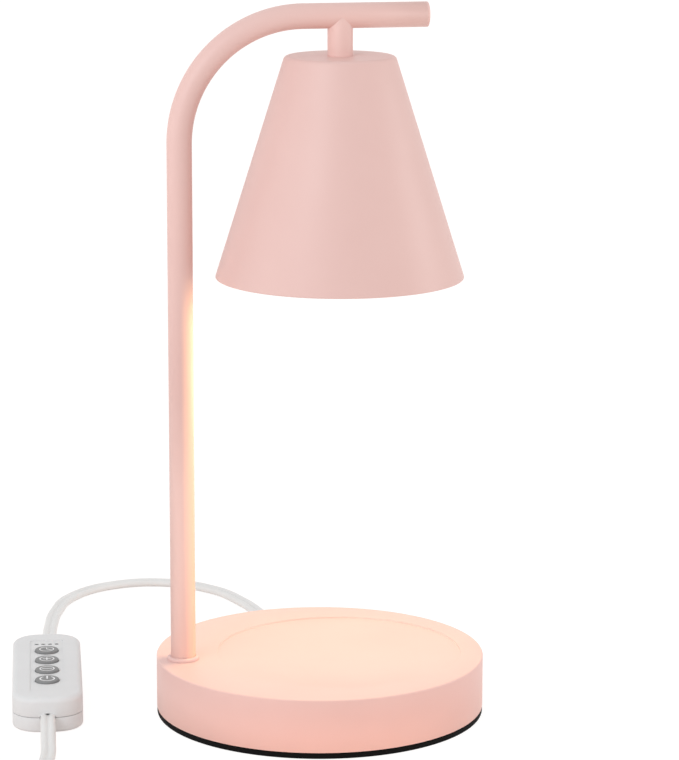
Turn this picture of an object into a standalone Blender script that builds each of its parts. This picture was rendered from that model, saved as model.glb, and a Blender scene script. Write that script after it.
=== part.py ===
"""Candle warmer lamp, modelled as its maker would put it together.

A drawn base pan over a cast weight, a bent tube, a short coped stem, a conical shade round a twist-lock
reflector bulb, and a box with four keys on the flat supply cord. Units are metres and +Z is up. The origin
is the centre of the foot pad's underside, and the arm points along +X.
"""

import math

import bmesh
import bpy
import numpy as np
from mathutils import Matrix, Vector

MM = 0.001
DEGREE = math.pi / 180
FULL_TURN = 2 * math.pi
QUARTER = math.pi / 2

# Fits and mesh fineness
SEAT_GAP = 0.3 * MM
CUT_OVERRUN = 1 * MM
MERGE_DISTANCE = 0.0005 * MM
SMALL_EDGE = 0.3 * MM
SHARP_ANGLE = 40 * DEGREE
LEAST_FLAT_NORMAL = 0.999
LEAST_ARC_RADIUS = 0.85 * MM
LYING_GAP = 0.05 * MM
LARGE_STEPS = 56
ROUND_STEPS = 24
SMALL_STEPS = 16
ARC_STEPS = 3

# Base
BASE_RADIUS = 75 * MM
BASE_HEIGHT = 26.9 * MM
PAN_WALL = 1.2 * MM
PAN_CORNER = 1.6 * MM
RECESS_MARGIN = 10 * MM
RECESS_DEPTH = 0.8 * MM
RECESS_SLOPE = 1.2 * MM
PAD_THICKNESS = 2.5 * MM
PAD_INSET = 0.5 * MM
PAD_EDGE = 0.5 * MM
PLATE_THICKNESS = 2 * MM
WEIGHT_INSET = 6 * MM
WEIGHT_THICKNESS = 10 * MM
WEIGHT_EDGE = 0.8 * MM
WEIGHT_BOSS_RADIUS = 5 * MM
PLATE_SCREW_COUNT = 3
PLATE_SCREW_TURN = 60 * DEGREE
PLATE_SCREW_INSET = 14 * MM
PLATE_SCREW_RADIUS = 1.75 * MM
PLATE_SCREW_HEAD_RADIUS = 3.3 * MM
PLATE_SCREW_HEAD_HEIGHT = 1.7 * MM
PLATE_SCREW_LENGTH = 11 * MM
SCREW_TIP = 0.6 * MM

# Post, bend and arm: one tube
POST_INSET = 11.6 * MM
TUBE_RADIUS = 5.65 * MM
TUBE_WALL = 1.3 * MM
BEND_RADIUS = 55.6 * MM
BEND_STEPS = 14
ARM_HEIGHT = 319 * MM
ARM_END = 49.6 * MM
END_CAP_THICKNESS = 1 * MM
END_CAP_EDGE = 0.4 * MM
END_CAP_SPIGOT = 6 * MM
COLLAR_RADIUS = 7.15 * MM
COLLAR_HEIGHT = 1.8 * MM
COLLAR_EDGE = 0.9 * MM

# Threaded nipples, washers and nuts of the post and the shade
NIPPLE_RADIUS = 4 * MM
NIPPLE_BORE = 2.7 * MM
NIPPLE_IN_TUBE = 14 * MM
NIPPLE_PAST_NUT = 1.5 * MM
WASHER_RADIUS = 8 * MM
WASHER_THICKNESS = 1 * MM
SHADE_WASHER_RADIUS = 6.6 * MM
NUT_FLATS = 13 * MM
NUT_HEIGHT = 5 * MM

# Stem and shade
SHADE_X = 9 * MM
STEM_DROP = 17.8 * MM
SHADE_HEIGHT = 99.3 * MM
SHADE_TOP_RADIUS = 24.8 * MM
SHADE_MOUTH_RADIUS = 56 * MM
SHADE_WALL = 1 * MM
SHADE_CORNER = 1.4 * MM
SHADE_RIM_EDGE = 0.4 * MM
WIRE_HOLE_RADIUS = 3.2 * MM

# Strap and ceramic lampholder
STRAP_THICKNESS = 1 * MM
STRAP_WIDTH = 12 * MM
STRAP_HALF_SPAN = 7 * MM
STRAP_FOOT = 5 * MM
STRAP_DROP = 20 * MM
STRAP_BEND = 1.4 * MM
HOLDER_RADIUS = 13.5 * MM
HOLDER_HEIGHT = 16 * MM
HOLDER_EDGE = 1 * MM
HOLDER_SCREW_RADIUS = 1.25 * MM
HOLDER_SCREW_HEAD_RADIUS = 2.1 * MM
HOLDER_SCREW_HEAD_HEIGHT = 1.6 * MM
HOLDER_SCREW_LENGTH = 9 * MM
FACE_PLATE = 2.5 * MM
PIN_CIRCLE = 5 * MM
LOCK_TURN = 30 * DEGREE
SLOT_WIDTH = 3.4 * MM
POCKET_WIDTH = 5.6 * MM
POCKET_TOP = 6.4 * MM
ENTRY_RADIUS = 2.7 * MM
CONTACT_WIDTH = 4.6 * MM
CONTACT_THICKNESS = 0.5 * MM

# Reflector bulb, measured down from the lampholder's face
PIN_RADIUS = 1.45 * MM
PIN_HEAD_RADIUS = 2.4 * MM
PIN_HEAD_BOTTOM = 2.9 * MM
PIN_HEAD_TOP = 5.1 * MM
PIN_HEAD_EDGE = 0.4 * MM
PIN_SEAT_DEPTH = 4 * MM
BULB_BASE_RADIUS = 9.5 * MM
BULB_BASE_HEIGHT = 17 * MM
BULB_BASE_SHOULDER = 1.2 * MM
BULB_RIM_RADIUS = 25 * MM
BULB_LENGTH = 46 * MM
BULB_RIM_HEIGHT = 4.2 * MM
BULB_RIM_WALL = 1.6 * MM
BULB_NECK_HEIGHT = 2.6 * MM
BULB_NECK_HOLE = 5.2 * MM
BULB_GLASS_WALL = 1.5 * MM
BULB_GLASS_LEDGE = 1.2 * MM
BULB_BOWL_STEPS = 6
BULB_FACETS = 28
BULB_BOWL_POWER = 0.62
FRONT_GLASS_THICKNESS = 1.9 * MM
CAPSULE_NECK_RADIUS = 2.8 * MM
CAPSULE_RADIUS = 4.2 * MM
CAPSULE_NECK_HEIGHT = 6 * MM
CAPSULE_HEIGHT = 20 * MM
CAPSULE_TIP = 3 * MM

# Heat-proof leads and the joint box in the base
LEAD_RADIUS = 1.05 * MM
LEAD_OFFSET = 1.3 * MM
LEAD_TURN = 4.2 * MM
LEAD_EASE_STEPS = 4
LEAD_ROUTE_SHARES = ((0.12, 0.4), (0.32, 0.76), (0.66, 0.98))
TERMINAL_FROM_POST = 29.4 * MM
TERMINAL_INSET = 26 * MM
TERMINAL_LENGTH = 16 * MM
TERMINAL_WIDTH = 14 * MM
TERMINAL_HEIGHT = 11 * MM
TERMINAL_EDGE = 1 * MM
TERMINAL_BORE = 1.9 * MM
TERMINAL_PITCH = 7 * MM
WIRE_IN_TERMINAL = 4 * MM
CORE_RADIUS = 1.3 * MM
CORE_PITCH = 3.4 * MM
CORE_TURN = 8 * MM

# Flat cord and its strain relief
CORD_WIDTH = 6.8 * MM
CORD_THICKNESS = 3.4 * MM
CORD_LENGTH = 1.8
CORD_POINT_SPACING = 14 * MM
CORD_EXIT_HEIGHT = 10 * MM
RELIEF_LENGTH = 26 * MM
RELIEF_RIBS = 4
RELIEF_RIB_DEPTH = 0.55 * MM
RELIEF_FLANGE_WIDTH = 14 * MM
RELIEF_FLANGE_HEIGHT = 10 * MM
RELIEF_FLANGE_THICKNESS = 1.9 * MM
RELIEF_NECK_WIDTH = 10.4 * MM
RELIEF_NECK_HEIGHT = 6.8 * MM
RELIEF_ROOT_WIDTH = 12.4 * MM
RELIEF_ROOT_HEIGHT = 8.8 * MM
RELIEF_TIP_WIDTH = 8.6 * MM
RELIEF_TIP_HEIGHT = 5.2 * MM
RELIEF_CURVE_GAP = 0.4 * MM
RELIEF_CORNER_SHARE = 0.48

# Control box on the cord: its local Y runs along the cord, away from the plug
CONTROL_X = -122 * MM
CONTROL_Y = 38 * MM
CONTROL_TURN = -5.7 * DEGREE
CONTROL_LENGTH = 105 * MM
CONTROL_WIDTH = 32 * MM
CONTROL_HEIGHT = 16 * MM
CONTROL_CORNER = 12.3 * MM
BOX_CORNER_STEPS = 5
CONTROL_TOP_EDGE = 2.6 * MM
CONTROL_BOTTOM_EDGE = 1.4 * MM
CONTROL_WALL = 1.8 * MM
CONTROL_PARTING = 7 * MM
PANEL_LENGTH = 80.8 * MM
PANEL_WIDTH = 15.9 * MM
PANEL_CORNER = 1.6 * MM
PANEL_DEPTH = 0.4 * MM
CORD_IN_CONTROL = 4 * MM
KEY_NAMES = ("timer", "plus", "minus", "power")
KEY_RADIUS = 5.5 * MM
KEY_PITCH = 15.75 * MM
KEY_CENTRE = -0.2 * MM
KEY_PROUD = 1 * MM
KEY_EDGE = 0.5 * MM
KEY_FLANGE_RADIUS = 6.6 * MM
KEY_FLANGE_THICKNESS = 0.8 * MM
KEY_FOOT_RADIUS = 2.3 * MM
KEY_TRAVEL = 0.5 * MM
KEY_STEPS = 20
DOT_COUNT = 4
DOT_STEPS = 8
DOT_RADIUS = 0.95 * MM
DOT_PITCH = 3.17 * MM
DOT_Y = 34.85 * MM
GUIDE_LENGTH = 13 * MM
GUIDE_WIDTH = 3.2 * MM
GUIDE_THICKNESS = 1.7 * MM
BOARD_LENGTH = 74 * MM
BOARD_WIDTH = 25 * MM
BOARD_BOTTOM = 4.8 * MM
BOARD_THICKNESS = 1.6 * MM
BOARD_CORNER = 2 * MM
BOARD_POST_RADIUS = 1.6 * MM
BOARD_POST_X = 10 * MM
BOARD_POST_Y = 30 * MM
SWITCH_SIDE = 6.2 * MM
SWITCH_HEIGHT = 3.6 * MM
PLUNGER_RADIUS = 1.7 * MM
PLUNGER_BORE = 2 * MM
PLUNGER_TOP = 11.4 * MM
PLUNGER_LENGTH = 3 * MM
CAPACITOR_RADIUS = 2.6 * MM
CAPACITOR_LENGTH = 11 * MM
CAPACITOR_Y = -32.5 * MM
DIMMER_LENGTH = 6 * MM
DIMMER_WIDTH = 9 * MM
DIMMER_HEIGHT = 4 * MM
DIMMER_Y = 31.5 * MM
CASE_SCREW_X = 9.5 * MM
CASE_SCREW_Y = 42 * MM
CASE_BOSS_RADIUS = 3.7 * MM
CASE_SCREW_RADIUS = 1.3 * MM
CASE_SCREW_HEAD_RADIUS = 2.5 * MM
CASE_SCREW_HEAD_HEIGHT = 1.7 * MM
CASE_SCREW_SUNK = 0.9 * MM
CASE_SCREW_LENGTH = 10.5 * MM
CASE_SCREW_HOLE = 1.6 * MM
CASE_SCREW_WELL = 3 * MM

# Coil of the cord's spare length, its tie and the plug
COIL_X = -212 * MM
COIL_Y = -46 * MM
COIL_TURNS = 5.25
COIL_POINTS_PER_TURN = 24
COIL_PITCH = 7.35 * MM
COIL_LAYER_STEP = 3.95 * MM
COIL_END_RUN = 7 * MM
COIL_CLIMB_TURNS = 0.5
COIL_LEAST_GAP = 0.4 * MM
TIE_ANGLE = 35 * DEGREE
TIE_WIDTH = 5 * MM
TIE_THICKNESS = 0.5 * MM
TIE_GAP = 0.4 * MM
TIE_CORNER = 1.4 * MM
PLUG_WIDTH = 25 * MM
PLUG_THICKNESS = 14 * MM
PLUG_LENGTH = 24 * MM
PLUG_NECK_LENGTH = 14 * MM
PLUG_NECK_WIDTH = 9 * MM
PLUG_NECK_THICKNESS = 5.4 * MM
PLUG_ROOT_WIDTH = 12 * MM
PLUG_ROOT_THICKNESS = 8 * MM
PLUG_EDGE = 1 * MM
PLUG_CORNER = 3.6 * MM
PLUG_CORNER_SHARE = 0.45
PLUG_RUN = 28 * MM
PLUG_RUN_SHARES = ((0.25, 0.1), (0.5, 0.6), (0.75, 1.0), (1.0, 1.0))
BLADE_PITCH = 12.7 * MM
BLADE_LENGTH = 17 * MM
BLADE_THICKNESS = 1.5 * MM
BLADE_WIDTHS = (6.4 * MM, 7.9 * MM)
BLADE_IN_PLUG = 5 * MM
BLADE_TIP = 1.5 * MM

# Places worked out from the sizes above
PAN_FOOT = PAD_THICKNESS + SEAT_GAP
PAN_UNDERSIDE = BASE_HEIGHT - PAN_WALL
RECESS_FLOOR = BASE_HEIGHT - RECESS_DEPTH
PLATE_SCREW_TOP = PAN_FOOT + PLATE_SCREW_LENGTH
PLATE_TOP = PAN_FOOT + PLATE_THICKNESS
RECESS_RADIUS = BASE_RADIUS - SHADE_X - RECESS_MARGIN
WEIGHT_RADIUS = RECESS_RADIUS - WEIGHT_INSET
PLATE_SCREW_CIRCLE = WEIGHT_RADIUS - PLATE_SCREW_INSET
POST_X = POST_INSET - BASE_RADIUS
TERMINAL_X = POST_X + TERMINAL_FROM_POST
TERMINAL_Y = BASE_RADIUS - TERMINAL_INSET
TUBE_BORE = TUBE_RADIUS - TUBE_WALL
TUBE_FOOT = BASE_HEIGHT + SEAT_GAP
POST_NUT_BOTTOM = PAN_UNDERSIDE - 2 * SEAT_GAP - WASHER_THICKNESS - NUT_HEIGHT
POST_NIPPLE_BOTTOM = POST_NUT_BOTTOM - NIPPLE_PAST_NUT
SHADE_TOP = ARM_HEIGHT - STEM_DROP
SHADE_MOUTH = SHADE_TOP - SHADE_HEIGHT
SHADE_CEILING = SHADE_TOP - SHADE_WALL
STRAP_TOP = SHADE_CEILING - SEAT_GAP
STRAP_UNDERSIDE = STRAP_TOP - STRAP_THICKNESS
SHADE_NUT_BOTTOM = STRAP_UNDERSIDE - 2 * SEAT_GAP - WASHER_THICKNESS - NUT_HEIGHT
SHADE_NIPPLE_BOTTOM = SHADE_NUT_BOTTOM - NIPPLE_PAST_NUT
STRAP_FOOT_UNDERSIDE = STRAP_TOP - STRAP_DROP
HOLDER_SCREW_X = STRAP_HALF_SPAN + STRAP_THICKNESS + SEAT_GAP + HOLDER_SCREW_HEAD_RADIUS
HOLDER_BACK = STRAP_FOOT_UNDERSIDE - SEAT_GAP
HOLDER_FACE = HOLDER_BACK - HOLDER_HEIGHT
CONTROL_CEILING = CONTROL_HEIGHT - CONTROL_WALL
PANEL_FLOOR = CONTROL_HEIGHT - PANEL_DEPTH
BOARD_TOP = BOARD_BOTTOM + BOARD_THICKNESS
CORD_LYING = CORD_THICKNESS / 2 + LYING_GAP
COIL_LOW = LYING_GAP + TIE_THICKNESS + TIE_GAP + CORD_THICKNESS / 2
COIL_HIGH = COIL_LOW + COIL_LAYER_STEP
PLUG_AXIS = PLUG_THICKNESS / 2 + LYING_GAP
RELIEF_TIP_Y = BASE_RADIUS + RELIEF_LENGTH

# The cord's two free stretches, as points chosen by hand on the table
LAMP_ROUTE = [
    (0, 120 * MM, 8.3 * MM), (-0.5 * MM, 134 * MM, 5 * MM), (-2 * MM, 152 * MM, 2.1 * MM),
    (-7 * MM, 176 * MM, 1.8 * MM), (-19 * MM, 203 * MM, 1.8 * MM), (-42 * MM, 221 * MM, 1.8 * MM),
    (-70 * MM, 220 * MM, 1.8 * MM), (-92 * MM, 202 * MM, 1.8 * MM), (-103 * MM, 176 * MM, 1.8 * MM),
    (-108.5 * MM, 150 * MM, 1.8 * MM), (-112 * MM, 126 * MM, 2.8 * MM), (-114.2 * MM, 110 * MM, 5.2 * MM),
]
PLUG_ROUTE = [
    (-129.6 * MM, -38 * MM, 3.6 * MM), (-131.6 * MM, -54 * MM, 1.9 * MM), (-137 * MM, -71 * MM, 1.8 * MM),
    (-150 * MM, -85 * MM, 1.8 * MM), (-168 * MM, -92.5 * MM, 2.0 * MM),
]

# Colour, roughness and metallic value of each finish
FINISHES = {
    "pink_powder_coat": ("E9C6BD", 0.55, 0.0),
    "black_foam": ("141313", 0.85, 0.0),
    "black_steel": ("26262A", 0.5, 0.6),
    "cast_iron": ("4A4744", 0.7, 0.8),
    "zinc_plated": ("B9BCC0", 0.35, 1.0),
    "brass": ("C9A353", 0.3, 1.0),
    "white_ceramic": ("EDEAE2", 0.35, 0.0),
    "coated_reflector": ("D9DCE0", 0.12, 0.9),
    "clear_glass": ("E8EEF0", 0.05, 0.0),
    "white_sleeve": ("E4DFD2", 0.8, 0.0),
    "white_nylon": ("E9E7E0", 0.45, 0.0),
    "white_abs": ("E6E6E6", 0.4, 0.0),
    "grey_abs": ("7F7F7F", 0.5, 0.0),
    "clear_acrylic": ("5C5C5C", 0.2, 0.0),
    "green_laminate": ("2E6B45", 0.5, 0.0),
    "black_plastic": ("1C1C1E", 0.5, 0.0),
    "white_vinyl": ("EDEDED", 0.45, 0.0),
}


def linear(web_colour):
    """A web colour as the linear values that a shader takes."""
    shares = [int(web_colour[i:i + 2], 16) / 255 for i in (0, 2, 4)]
    return [c / 12.92 if c <= 0.04045 else ((c + 0.055) / 1.055) ** 2.4 for c in shares] + [1]


def own_material(name, finish):
    colour, roughness, metallic = FINISHES[finish]
    material = bpy.data.materials.new(f"{name}_{finish}")
    material.use_nodes = True
    shader = material.node_tree.nodes["Principled BSDF"]
    shader.inputs["Base Color"].default_value = linear(colour)
    shader.inputs["Roughness"].default_value = roughness
    shader.inputs["Metallic"].default_value = metallic
    return material


def add_object(name, data, finish, parent=None, place=(0, 0, 0), turn=(0, 0, 0)):
    """One sub-part, or a cutter where no finish is given."""
    piece = bpy.data.objects.new(name, data)
    bpy.context.collection.objects.link(piece)
    piece.parent = parent
    piece.location = place
    piece.rotation_euler = turn
    if finish is None:
        piece.hide_render = True
        piece.display_type = "WIRE"
    elif not data.materials:
        data.materials.append(own_material(name, finish))
    return piece


def add_empty(name, place, turn=0):
    frame = bpy.data.objects.new(name, None)
    bpy.context.collection.objects.link(frame)
    frame.location = place
    frame.rotation_euler.z = turn
    return frame


def mesh_from(name, bm):
    """Closes the doubles, turns the faces outwards and shades the sides smooth. Ends and caps stay flat."""
    bmesh.ops.remove_doubles(bm, verts=bm.verts, dist=MERGE_DISTANCE)
    bmesh.ops.recalc_face_normals(bm, faces=bm.faces)
    bm.normal_update()
    for face in bm.faces:
        face.smooth = len(face.verts) <= 4 and abs(face.normal.z) < LEAST_FLAT_NORMAL
    mesh = bpy.data.meshes.new(name)
    bm.to_mesh(mesh)
    bm.free()
    mesh.set_sharp_from_angle(angle=SHARP_ANGLE)
    return mesh


def polar(radius, angle):
    return Vector((radius * math.cos(angle), radius * math.sin(angle)))


def rounded(corners, steps=ARC_STEPS):
    """An outline from (x, y, fillet radius) corners. A very small fillet is drawn as a chamfer."""
    outline = []
    for i, (x, y, radius) in enumerate(corners):
        here = Vector((x, y))
        if not radius:
            outline.append(here)
            continue
        before = (Vector(corners[i - 1][:2]) - here).normalized()
        after = (Vector(corners[(i + 1) % len(corners)][:2]) - here).normalized()
        half = before.angle(after) / 2
        centre = here + (before + after).normalized() * (radius / math.sin(half))
        start = here + before * (radius / math.tan(half)) - centre
        end = here + after * (radius / math.tan(half)) - centre
        first = math.atan2(start.y, start.x)
        sweep = math.remainder(math.atan2(end.y, end.x) - first, FULL_TURN)
        count = steps if radius > LEAST_ARC_RADIUS else 1
        outline += [centre + polar(radius, first + sweep * step / count) for step in range(count + 1)]
    return outline


def rounded_rectangle(length_x, length_y, corner, steps=ARC_STEPS):
    """The outline of a rectangle with round corners, centred on zero."""
    half_x, half_y = length_x / 2, length_y / 2
    signs = ((1, 1), (-1, 1), (-1, -1), (1, -1))
    outline = []
    for turn, (sx, sy) in enumerate(signs):
        centre = Vector((sx * (half_x - corner), sy * (half_y - corner)))
        outline += [centre + polar(corner, (turn + step / steps) * QUARTER) for step in range(steps + 1)]
    return outline


def shifted(outline, by):
    return [point + Vector(by) for point in outline]


def bent_slot(radius, width, start, end):
    """The outline of a slot along an arc, with round ends."""
    outline = [polar(radius + width / 2, start + (end - start) * k / ARC_STEPS) for k in range(ARC_STEPS + 1)]
    steps = 2 * ARC_STEPS
    tip, tail = polar(radius, end), polar(radius, start)
    outline += [tip + polar(width / 2, end + math.pi * k / steps) for k in range(1, steps)]
    outline += [polar(radius - width / 2, end + (start - end) * k / ARC_STEPS) for k in range(ARC_STEPS + 1)]
    outline += [tail + polar(width / 2, start + math.pi * (1 + k / steps)) for k in range(1, steps)]
    return outline


def turned(name, outline, finish, steps=ROUND_STEPS, **where):
    """A turned piece: (radius, height) points spun round Z. Both ends lie on the axis, or neither does."""
    bm = bmesh.new()
    points = [bm.verts.new((radius, 0, height)) for radius, height in outline]
    edges = [bm.edges.new(pair) for pair in zip(points, points[1:])]
    if outline[0][0] > 0:
        edges.append(bm.edges.new((points[-1], points[0])))
    bmesh.ops.spin(
        bm, geom=points + edges, axis=(0, 0, 1), cent=(0, 0, 0), angle=FULL_TURN, steps=steps, use_merge=True
    )
    return add_object(name, mesh_from(name, bm), finish, **where)


def ring(name, inner, outer, low, high, finish, **where):
    outline = [(inner, low), (outer, low), (outer, high), (inner, high)]
    return turned(name, outline, finish, **where)


def skin(name, rings, finish, closed=False, **where):
    """Skins rings of as many points each. Open ends get a cap, and closed joins the last to the first."""
    bm = bmesh.new()
    rows = [[bm.verts.new(point) for point in row] for row in rings]
    pairs = list(zip(rows, rows[1:]))
    if closed:
        pairs.append((rows[-1], rows[0]))
    else:
        bm.faces.new(rows[0])
        bm.faces.new(rows[-1])
    for row, following in pairs:
        for i in range(len(row)):
            bm.faces.new((row[i - 1], row[i], following[i], following[i - 1]))
    return add_object(name, mesh_from(name, bm), finish, **where)


def prisms(name, outlines, low, high, finish, **where):
    """Flat outlines in X and Y, each drawn up from low to high."""
    bm = bmesh.new()
    for outline in outlines:
        face = bm.faces.new([bm.verts.new((x, y, low)) for x, y in outline])
        grown = bmesh.ops.extrude_face_region(bm, geom=[face])["geom"]
        raised = [item for item in grown if isinstance(item, bmesh.types.BMVert)]
        bmesh.ops.translate(bm, verts=raised, vec=(0, 0, high - low))
    return add_object(name, mesh_from(name, bm), finish, **where)


def pegs(name, radius, low, high, places, finish=None, top_radius=None, steps=SMALL_STEPS, **where):
    """Round pegs of one size, or tapers where a top radius is given, one at each (x, y) place."""
    bm = bmesh.new()
    for x, y in places:
        bmesh.ops.create_cone(
            bm, cap_ends=True, segments=steps, radius1=radius,
            radius2=radius if top_radius is None else top_radius, depth=high - low,
            matrix=Matrix.Translation((x, y, (low + high) / 2)),
        )
    return add_object(name, mesh_from(name, bm), finish, **where)


def cut(piece, cutter):
    modifier = piece.modifiers.new(cutter.name, "BOOLEAN")
    modifier.operation = "DIFFERENCE"
    modifier.object = cutter


def fuse(piece, addition):
    modifier = piece.modifiers.new(addition.name, "BOOLEAN")
    modifier.operation = "UNION"
    modifier.object = addition


def curve_tube(name, points, radius, finish, resolution, height_share=1.0):
    """A round tube through points, or a flat one where the height is a share of the width."""
    data = bpy.data.curves.new(name, "CURVE")
    data.dimensions = "3D"
    data.bevel_depth = radius
    data.bevel_resolution = resolution
    data.use_fill_caps = True
    line = data.splines.new("POLY")
    line.points.add(len(points) - 1)
    for target, (x, y, z) in zip(line.points, points):
        target.co = (x, y, z / height_share, 1)
    piece = add_object(name, data, finish)
    piece.scale.z = height_share
    return piece


def smooth_line(route, spacing):
    """Points a spacing apart on the natural cubic spline through a route's points."""
    route = np.array(route, float)
    gaps = np.linalg.norm(np.diff(route, axis=0), axis=1)
    system, target = np.eye(len(route)), np.zeros_like(route)
    for i in range(1, len(route) - 1):
        system[i, i - 1:i + 2] = gaps[i - 1], 2 * (gaps[i - 1] + gaps[i]), gaps[i]
        target[i] = 6 * ((route[i + 1] - route[i]) / gaps[i] - (route[i] - route[i - 1]) / gaps[i - 1])
    bend = np.linalg.solve(system, target)
    fine = []
    for i, gap in enumerate(gaps):
        for b in np.arange(0, 1, 0.05):
            a = 1 - b
            curved = ((a ** 3 - a) * bend[i] + (b ** 3 - b) * bend[i + 1]) * gap * gap / 6
            fine.append(a * route[i] + b * route[i + 1] + curved)
    fine = np.array(fine + [route[-1]])
    travelled = np.concatenate(([0], np.cumsum(np.linalg.norm(np.diff(fine, axis=0), axis=1))))
    count = max(2, round(travelled[-1] / spacing))
    stops = np.linspace(0, travelled[-1], count + 1)
    return np.stack([np.interp(stops, travelled, fine[:, axis]) for axis in range(3)], axis=1)


def cord_line(route):
    """Points along a cord whose first and last stretch run straight, square to what they meet."""
    curved = smooth_line(route, CORD_POINT_SPACING)[1:-1]
    curved = np.maximum(curved, (-np.inf, -np.inf, CORD_LYING))
    return [*route[:2], *curved, *route[-2:]]


def length_of(points):
    return float(np.linalg.norm(np.diff(np.array(points), axis=0), axis=1).sum())


def make_pan():
    """Drawn pan with a shallow round recess, a hole for the post and one for the cord."""
    inner = BASE_RADIUS - PAN_WALL
    pan = turned("base_housing", rounded([
        (0, PAN_UNDERSIDE, 0), (inner, PAN_UNDERSIDE, 0), (inner, PAN_FOOT, 0), (BASE_RADIUS, PAN_FOOT, 0),
        (BASE_RADIUS, BASE_HEIGHT, PAN_CORNER), (0, BASE_HEIGHT, 0)]), "pink_powder_coat", steps=LARGE_STEPS)
    floor_radius = RECESS_RADIUS - RECESS_SLOPE
    floor_underside = RECESS_FLOOR - PAN_WALL
    inside_wall = PAN_UNDERSIDE + PAN_WALL / 2
    fuse(pan, turned("recess_underside", [
        (0, floor_underside), (floor_radius, floor_underside), (RECESS_RADIUS + PAN_WALL, inside_wall),
        (0, inside_wall)], None, steps=LARGE_STEPS, place=(SHADE_X, 0, 0)))
    above = BASE_HEIGHT + CUT_OVERRUN
    widest = RECESS_RADIUS + CUT_OVERRUN * RECESS_SLOPE / RECESS_DEPTH
    cut(pan, turned("recess_cutter", [
        (0, RECESS_FLOOR), (floor_radius, RECESS_FLOOR), (widest, above), (0, above)],
        None, steps=LARGE_STEPS, place=(SHADE_X, 0, 0)))
    cut(pan, pegs("post_hole", NIPPLE_RADIUS + SEAT_GAP, PAN_UNDERSIDE - CUT_OVERRUN, above, [(POST_X, 0)]))
    cord_hole = rounded_rectangle(
        RELIEF_NECK_WIDTH + 2 * SEAT_GAP, RELIEF_NECK_HEIGHT + 2 * SEAT_GAP, RELIEF_NECK_HEIGHT / 2)
    # The outline is drawn up along Z and then laid down, so that it runs through the wall along Y.
    cut(pan, prisms("cord_hole", [cord_hole], -BASE_RADIUS - CUT_OVERRUN, RELIEF_FLANGE_WIDTH - BASE_RADIUS,
                    None, place=(0, 0, CORD_EXIT_HEIGHT), turn=(QUARTER, 0, 0)))


def plate_screw_places():
    """The screws' places round the axis of the weight."""
    turns = [PLATE_SCREW_TURN + FULL_TURN * k / PLATE_SCREW_COUNT for k in range(PLATE_SCREW_COUNT)]
    return [polar(PLATE_SCREW_CIRCLE, turn) for turn in turns]


def make_weight():
    """Cast disc under the recess, with three bosses that take the plate's screws."""
    top = RECESS_FLOOR - PAN_WALL - SEAT_GAP
    bottom = top - WEIGHT_THICKNESS
    boss_foot = PLATE_TOP + SEAT_GAP
    on_axis = {"place": (SHADE_X, 0, 0)}
    screws = plate_screw_places()
    weight = turned("counterweight", rounded([
        (0, bottom, 0), (WEIGHT_RADIUS, bottom, WEIGHT_EDGE), (WEIGHT_RADIUS, top, WEIGHT_EDGE),
        (0, top, 0)]), "cast_iron", steps=LARGE_STEPS // 2, **on_axis)
    boss_top = bottom + WEIGHT_EDGE
    fuse(weight, pegs("weight_bosses", WEIGHT_BOSS_RADIUS, boss_foot, boss_top, screws, **on_axis))
    cut(weight, pegs("weight_screw_holes", PLATE_SCREW_RADIUS + SEAT_GAP, boss_foot - CUT_OVERRUN,
                     PLATE_SCREW_TOP + SEAT_GAP, screws, **on_axis))


def make_base_plate():
    """Steel disc that closes the pan, with its countersunk screws, and the foam pad under both."""
    edge = BASE_RADIUS - PAN_WALL - SEAT_GAP
    on_axis = {"place": (SHADE_X, 0, 0)}
    screws = plate_screw_places()
    plate = turned("base_plate", [(0, PAN_FOOT), (edge, PAN_FOOT), (edge, PLATE_TOP), (0, PLATE_TOP)],
                   "black_steel", steps=LARGE_STEPS)
    hole = PLATE_SCREW_RADIUS + SEAT_GAP
    head_top = PAN_FOOT + PLATE_SCREW_HEAD_HEIGHT
    flare = (PLATE_SCREW_HEAD_RADIUS - PLATE_SCREW_RADIUS) / PLATE_SCREW_HEAD_HEIGHT
    mouth = PLATE_SCREW_HEAD_RADIUS + SEAT_GAP + flare * SEAT_GAP
    cut(plate, pegs("plate_holes", hole, PAN_FOOT - CUT_OVERRUN, PLATE_TOP + CUT_OVERRUN, screws, **on_axis))
    cut(plate, pegs("plate_countersinks", mouth, PAN_FOOT - SEAT_GAP, head_top, screws, top_radius=hole,
                    **on_axis))
    outline = [
        (0, PAN_FOOT), (PLATE_SCREW_HEAD_RADIUS, PAN_FOOT), (PLATE_SCREW_RADIUS, head_top),
        (PLATE_SCREW_RADIUS, PLATE_SCREW_TOP - SCREW_TIP), (PLATE_SCREW_RADIUS - SCREW_TIP, PLATE_SCREW_TOP),
        (0, PLATE_SCREW_TOP)]
    for number, (x, y) in enumerate(screws, 1):
        turned(f"plate_screw_{number}", outline, "zinc_plated", steps=SMALL_STEPS, place=(SHADE_X + x, y, 0))
    rim = BASE_RADIUS - PAD_INSET
    turned("foot_pad", rounded([
        (0, 0, 0), (rim, 0, PAD_EDGE), (rim, PAD_THICKNESS, 0), (0, PAD_THICKNESS, 0)]),
        "black_foam", steps=LARGE_STEPS)


def hex_nut(name, low, x, finish):
    """A nut on the nipple at x, its low face at low."""
    corner = NUT_FLATS / math.sqrt(3)
    outline = [polar(corner, FULL_TURN * (k + 0.5) / 6) for k in range(6)]
    nut = prisms(name, [outline], low, low + NUT_HEIGHT, finish, place=(x, 0, 0))
    cut(nut, pegs(f"{name}_bore", NIPPLE_RADIUS + SEAT_GAP, low - CUT_OVERRUN, low + NUT_HEIGHT + CUT_OVERRUN,
                  [(0, 0)], place=(x, 0, 0)))
    return nut


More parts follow.
